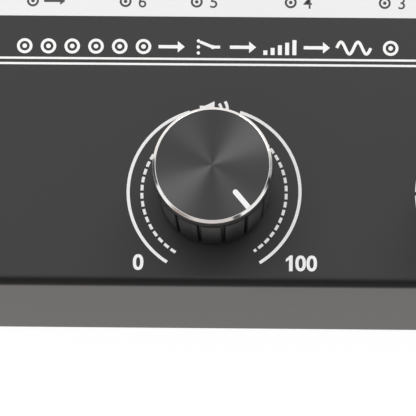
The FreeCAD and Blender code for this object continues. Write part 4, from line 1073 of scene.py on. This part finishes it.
class SELECTOR_OT_stage(bpy.types.Operator):
    """Set up the floor, the light and the camera"""

    bl_idname = "selector.stage"
    bl_label = "Stage"

    def execute(self, context):
        looks = context.scene.stage_looks
        self.floor(looks)
        self.world(looks)
        self.lamp("key_lamp", looks.key_place, looks.key_width, looks.key_power)
        self.lamp("fill_lamp", looks.fill_place, looks.fill_width, looks.fill_power)
        self.camera(looks)
        context.scene.view_settings.view_transform = "Standard"
        return {"FINISHED"}

    @staticmethod
    def floor(looks):
        """A wide pale floor that keeps the object's shadow. Gloss sees it warm, and dim in front."""
        bm = bmesh.new()
        bmesh.ops.create_grid(bm, x_segments=8, y_segments=8, size=2.0)
        mesh = bpy.data.meshes.new("floor")
        bm.to_mesh(mesh)
        bm.free()
        material = bpy.data.materials.new("floor_paper")
        material.use_nodes = True
        mesh.materials.append(material)
        floor = bpy.data.objects.new("floor", mesh)
        floor.location.z = -0.02 * MM
        bpy.context.scene.collection.objects.link(floor)

        tree = NodeTree(material.node_tree)
        ray = tree.node("ShaderNodeLightPath")
        seen = ray["Is Camera Ray"] + ray["Is Transmission Ray"]
        paper = tree.node("ShaderNodeBsdfDiffuse", None, {"Color": opaque(looks.floor)})[0]
        _x, y, _z = tree.split(tree.node("ShaderNodeTexCoord")["Object"])
        shade = tree.mix(tree.fade(y, -0.062, -0.13), (1.0, 0.96, 0.93), (0.18, 0.165, 0.16))
        surface = tree.blend(seen * 0.88, paper, tree.glow(opaque(1.0), 1.06))
        surface = tree.blend(ray["Is Glossy Ray"] * 0.95, surface, tree.glow(shade, 1.0))
        tree.node("ShaderNodeOutputMaterial", None, {"Surface": surface})

    @staticmethod
    def world(looks):
        """Even light, and for gloss a pale room with a few greyer stretches along its walls."""
        world = bpy.data.worlds.new("studio")
        bpy.context.scene.world = world
        world.use_nodes = True
        tree = NodeTree(world.node_tree)
        ray = tree.node("ShaderNodeLightPath")
        right, rear, up = tree.split(tree.node("ShaderNodeTexCoord")["Generated"])

        # The walls all round, from the rear through the right as a share of a turn
        share = tree.sum("FRACT", tree.sum("ARCTAN2", right, rear) / (2 * math.pi) + 1.0)
        walls = tree.node("ShaderNodeValToRGB", {"stops": (
            (0.0, 1.0), (0.165, 0.9), (0.198, 0.42), (0.216, 0.36), (0.238, 0.45), (0.25, 0.02),
            (0.262, 0.02), (0.275, 0.2), (0.295, 1.0), (0.397, 1.0), (0.403, 0.1), (0.425, 0.1),
            (0.433, (0.76, 0.7, 0.68)), (0.56, (0.73, 0.68, 0.66)), (0.6, (0.37, 0.32, 0.3)),
            (0.635, (0.42, 0.33, 0.3)), (0.662, 1.0), (0.722, 1.0), (0.735, (0.12, 0.12, 0.13)),
            (0.795, (0.05, 0.05, 0.055)), (0.865, 1.0))}, {0: share})[0]
        dark_foot = tree.fade(up, 0.17, 0.1) * tree.fade(rear, -0.65, -0.9)
        walls = tree.mix(dark_foot, walls, 0.03)

        # The ceiling, brightest overhead and to the left, and darkest in front
        side = tree.fade(right, -0.4, 0.4)
        low = tree.mix(tree.fade(rear, 0.12, -0.35), 0.62, 0.03)
        ceiling = tree.mix(tree.fade(up + rear * 0.15, 0.77, 0.95), low, tree.mix(side, 1.6, 0.78))
        room = tree.mix(tree.fade(up, 0.25, 0.33), walls, ceiling)

        level = tree.between(tree.fade(up, 0.0, 0.8), 0.1, 1.0) * tree.between(side, 1.2, 0.8)
        soft = tree.node("ShaderNodeVectorMath", {"operation": "SCALE"},
                         {0: (looks.daylight,) * 3, "Scale": level})[0]
        colour = tree.mix(ray["Is Camera Ray"], tree.mix(ray["Is Glossy Ray"], soft, room), 1.0)
        shader = tree.node("ShaderNodeBackground", None, {"Color": colour, "Strength": 1.0})[0]
        tree.node("ShaderNodeOutputWorld", None, {"Surface": shader})

    @staticmethod
    def lamp(name, place, across, power):
        """A round soft lamp that shows in gloss alone: the even light comes from the world."""
        light = bpy.data.lights.new(name, "AREA")
        light.shape = "DISK"
        light.size = across
        light.energy = power
        lamp = bpy.data.objects.new(name, light)
        lamp.location = place
        lamp.rotation_euler = (-Vector(place)).to_track_quat("-Z", "Y").to_euler()
        lamp.visible_camera = False
        lamp.visible_diffuse = False
        bpy.context.scene.collection.objects.link(lamp)

    @staticmethod
    def camera(looks):
        """The camera high in front of the case, looking steeply down at the volume dial."""
        pitch, yaw, roll = looks.camera_pitch, looks.camera_yaw, looks.camera_roll
        right = Vector((1.0, 0.0, 0.0))
        ahead = Vector((0.0, math.sin(pitch), -math.cos(pitch)))
        up = Vector((0.0, math.cos(pitch), math.sin(pitch)))
        ahead, right = (math.cos(yaw) * ahead + math.sin(yaw) * right,
                        math.cos(yaw) * right - math.sin(yaw) * ahead)
        right, up = (math.cos(roll) * right + math.sin(roll) * up,
                     math.cos(roll) * up - math.sin(roll) * right)
        lens = bpy.data.cameras.new("camera")
        lens.sensor_fit = "HORIZONTAL"
        lens.sensor_width = 36.0
        lens.lens = looks.lens
        lens.clip_start = 0.05
        lens.clip_end = 50.0
        camera = bpy.data.objects.new("camera", lens)
        turn = Matrix((right, up, -ahead)).transposed().to_4x4()
        camera.matrix_world = Matrix.Translation(looks.camera_place) @ turn
        bpy.context.scene.collection.objects.link(camera)
        bpy.context.scene.camera = camera


class SELECTOR_PT_looks(bpy.types.Panel):
    """The selector's looks in the sidebar"""

    bl_idname = "SELECTOR_PT_looks"
    bl_label = "Source selector"
    bl_space_type = "VIEW_3D"
    bl_region_type = "UI"
    bl_category = "Selector"

    def draw(self, context):
        for operator in OPERATORS:
            self.layout.operator(operator.bl_idname)
        for name in LOOKS:
            looks = getattr(context.scene, name)
            box = self.layout.box()
            for key in looks.__annotations__:
                box.prop(looks, key)


LOOKS = {"case_looks": CaseLooks, "print_looks": PrintLooks, "dial_looks": DialLooks,
         "knob_looks": KnobLooks, "socket_looks": SocketLooks, "stage_looks": StageLooks}
OPERATORS = (SELECTOR_OT_case, SELECTOR_OT_panel_print, SELECTOR_OT_volume_dial, SELECTOR_OT_source_dial,
             SELECTOR_OT_knobs, SELECTOR_OT_controls, SELECTOR_OT_sockets, SELECTOR_OT_board,
             SELECTOR_OT_stage)


def register():
    for kind in (*LOOKS.values(), *OPERATORS, SELECTOR_PT_looks):
        bpy.utils.register_class(kind)
    for name, kind in LOOKS.items():
        setattr(bpy.types.Scene, name, bpy.props.PointerProperty(type=kind))


def unregister():
    for name in LOOKS:
        delattr(bpy.types.Scene, name)
    for kind in reversed((*LOOKS.values(), *OPERATORS, SELECTOR_PT_looks)):
        bpy.utils.unregister_class(kind)


def main():
    register()
    for operator in OPERATORS:
        group, name = operator.bl_idname.split(".")
        getattr(getattr(bpy.ops, group), name)()
    bpy.context.view_layer.update()


if __name__ == "__main__":
    main()
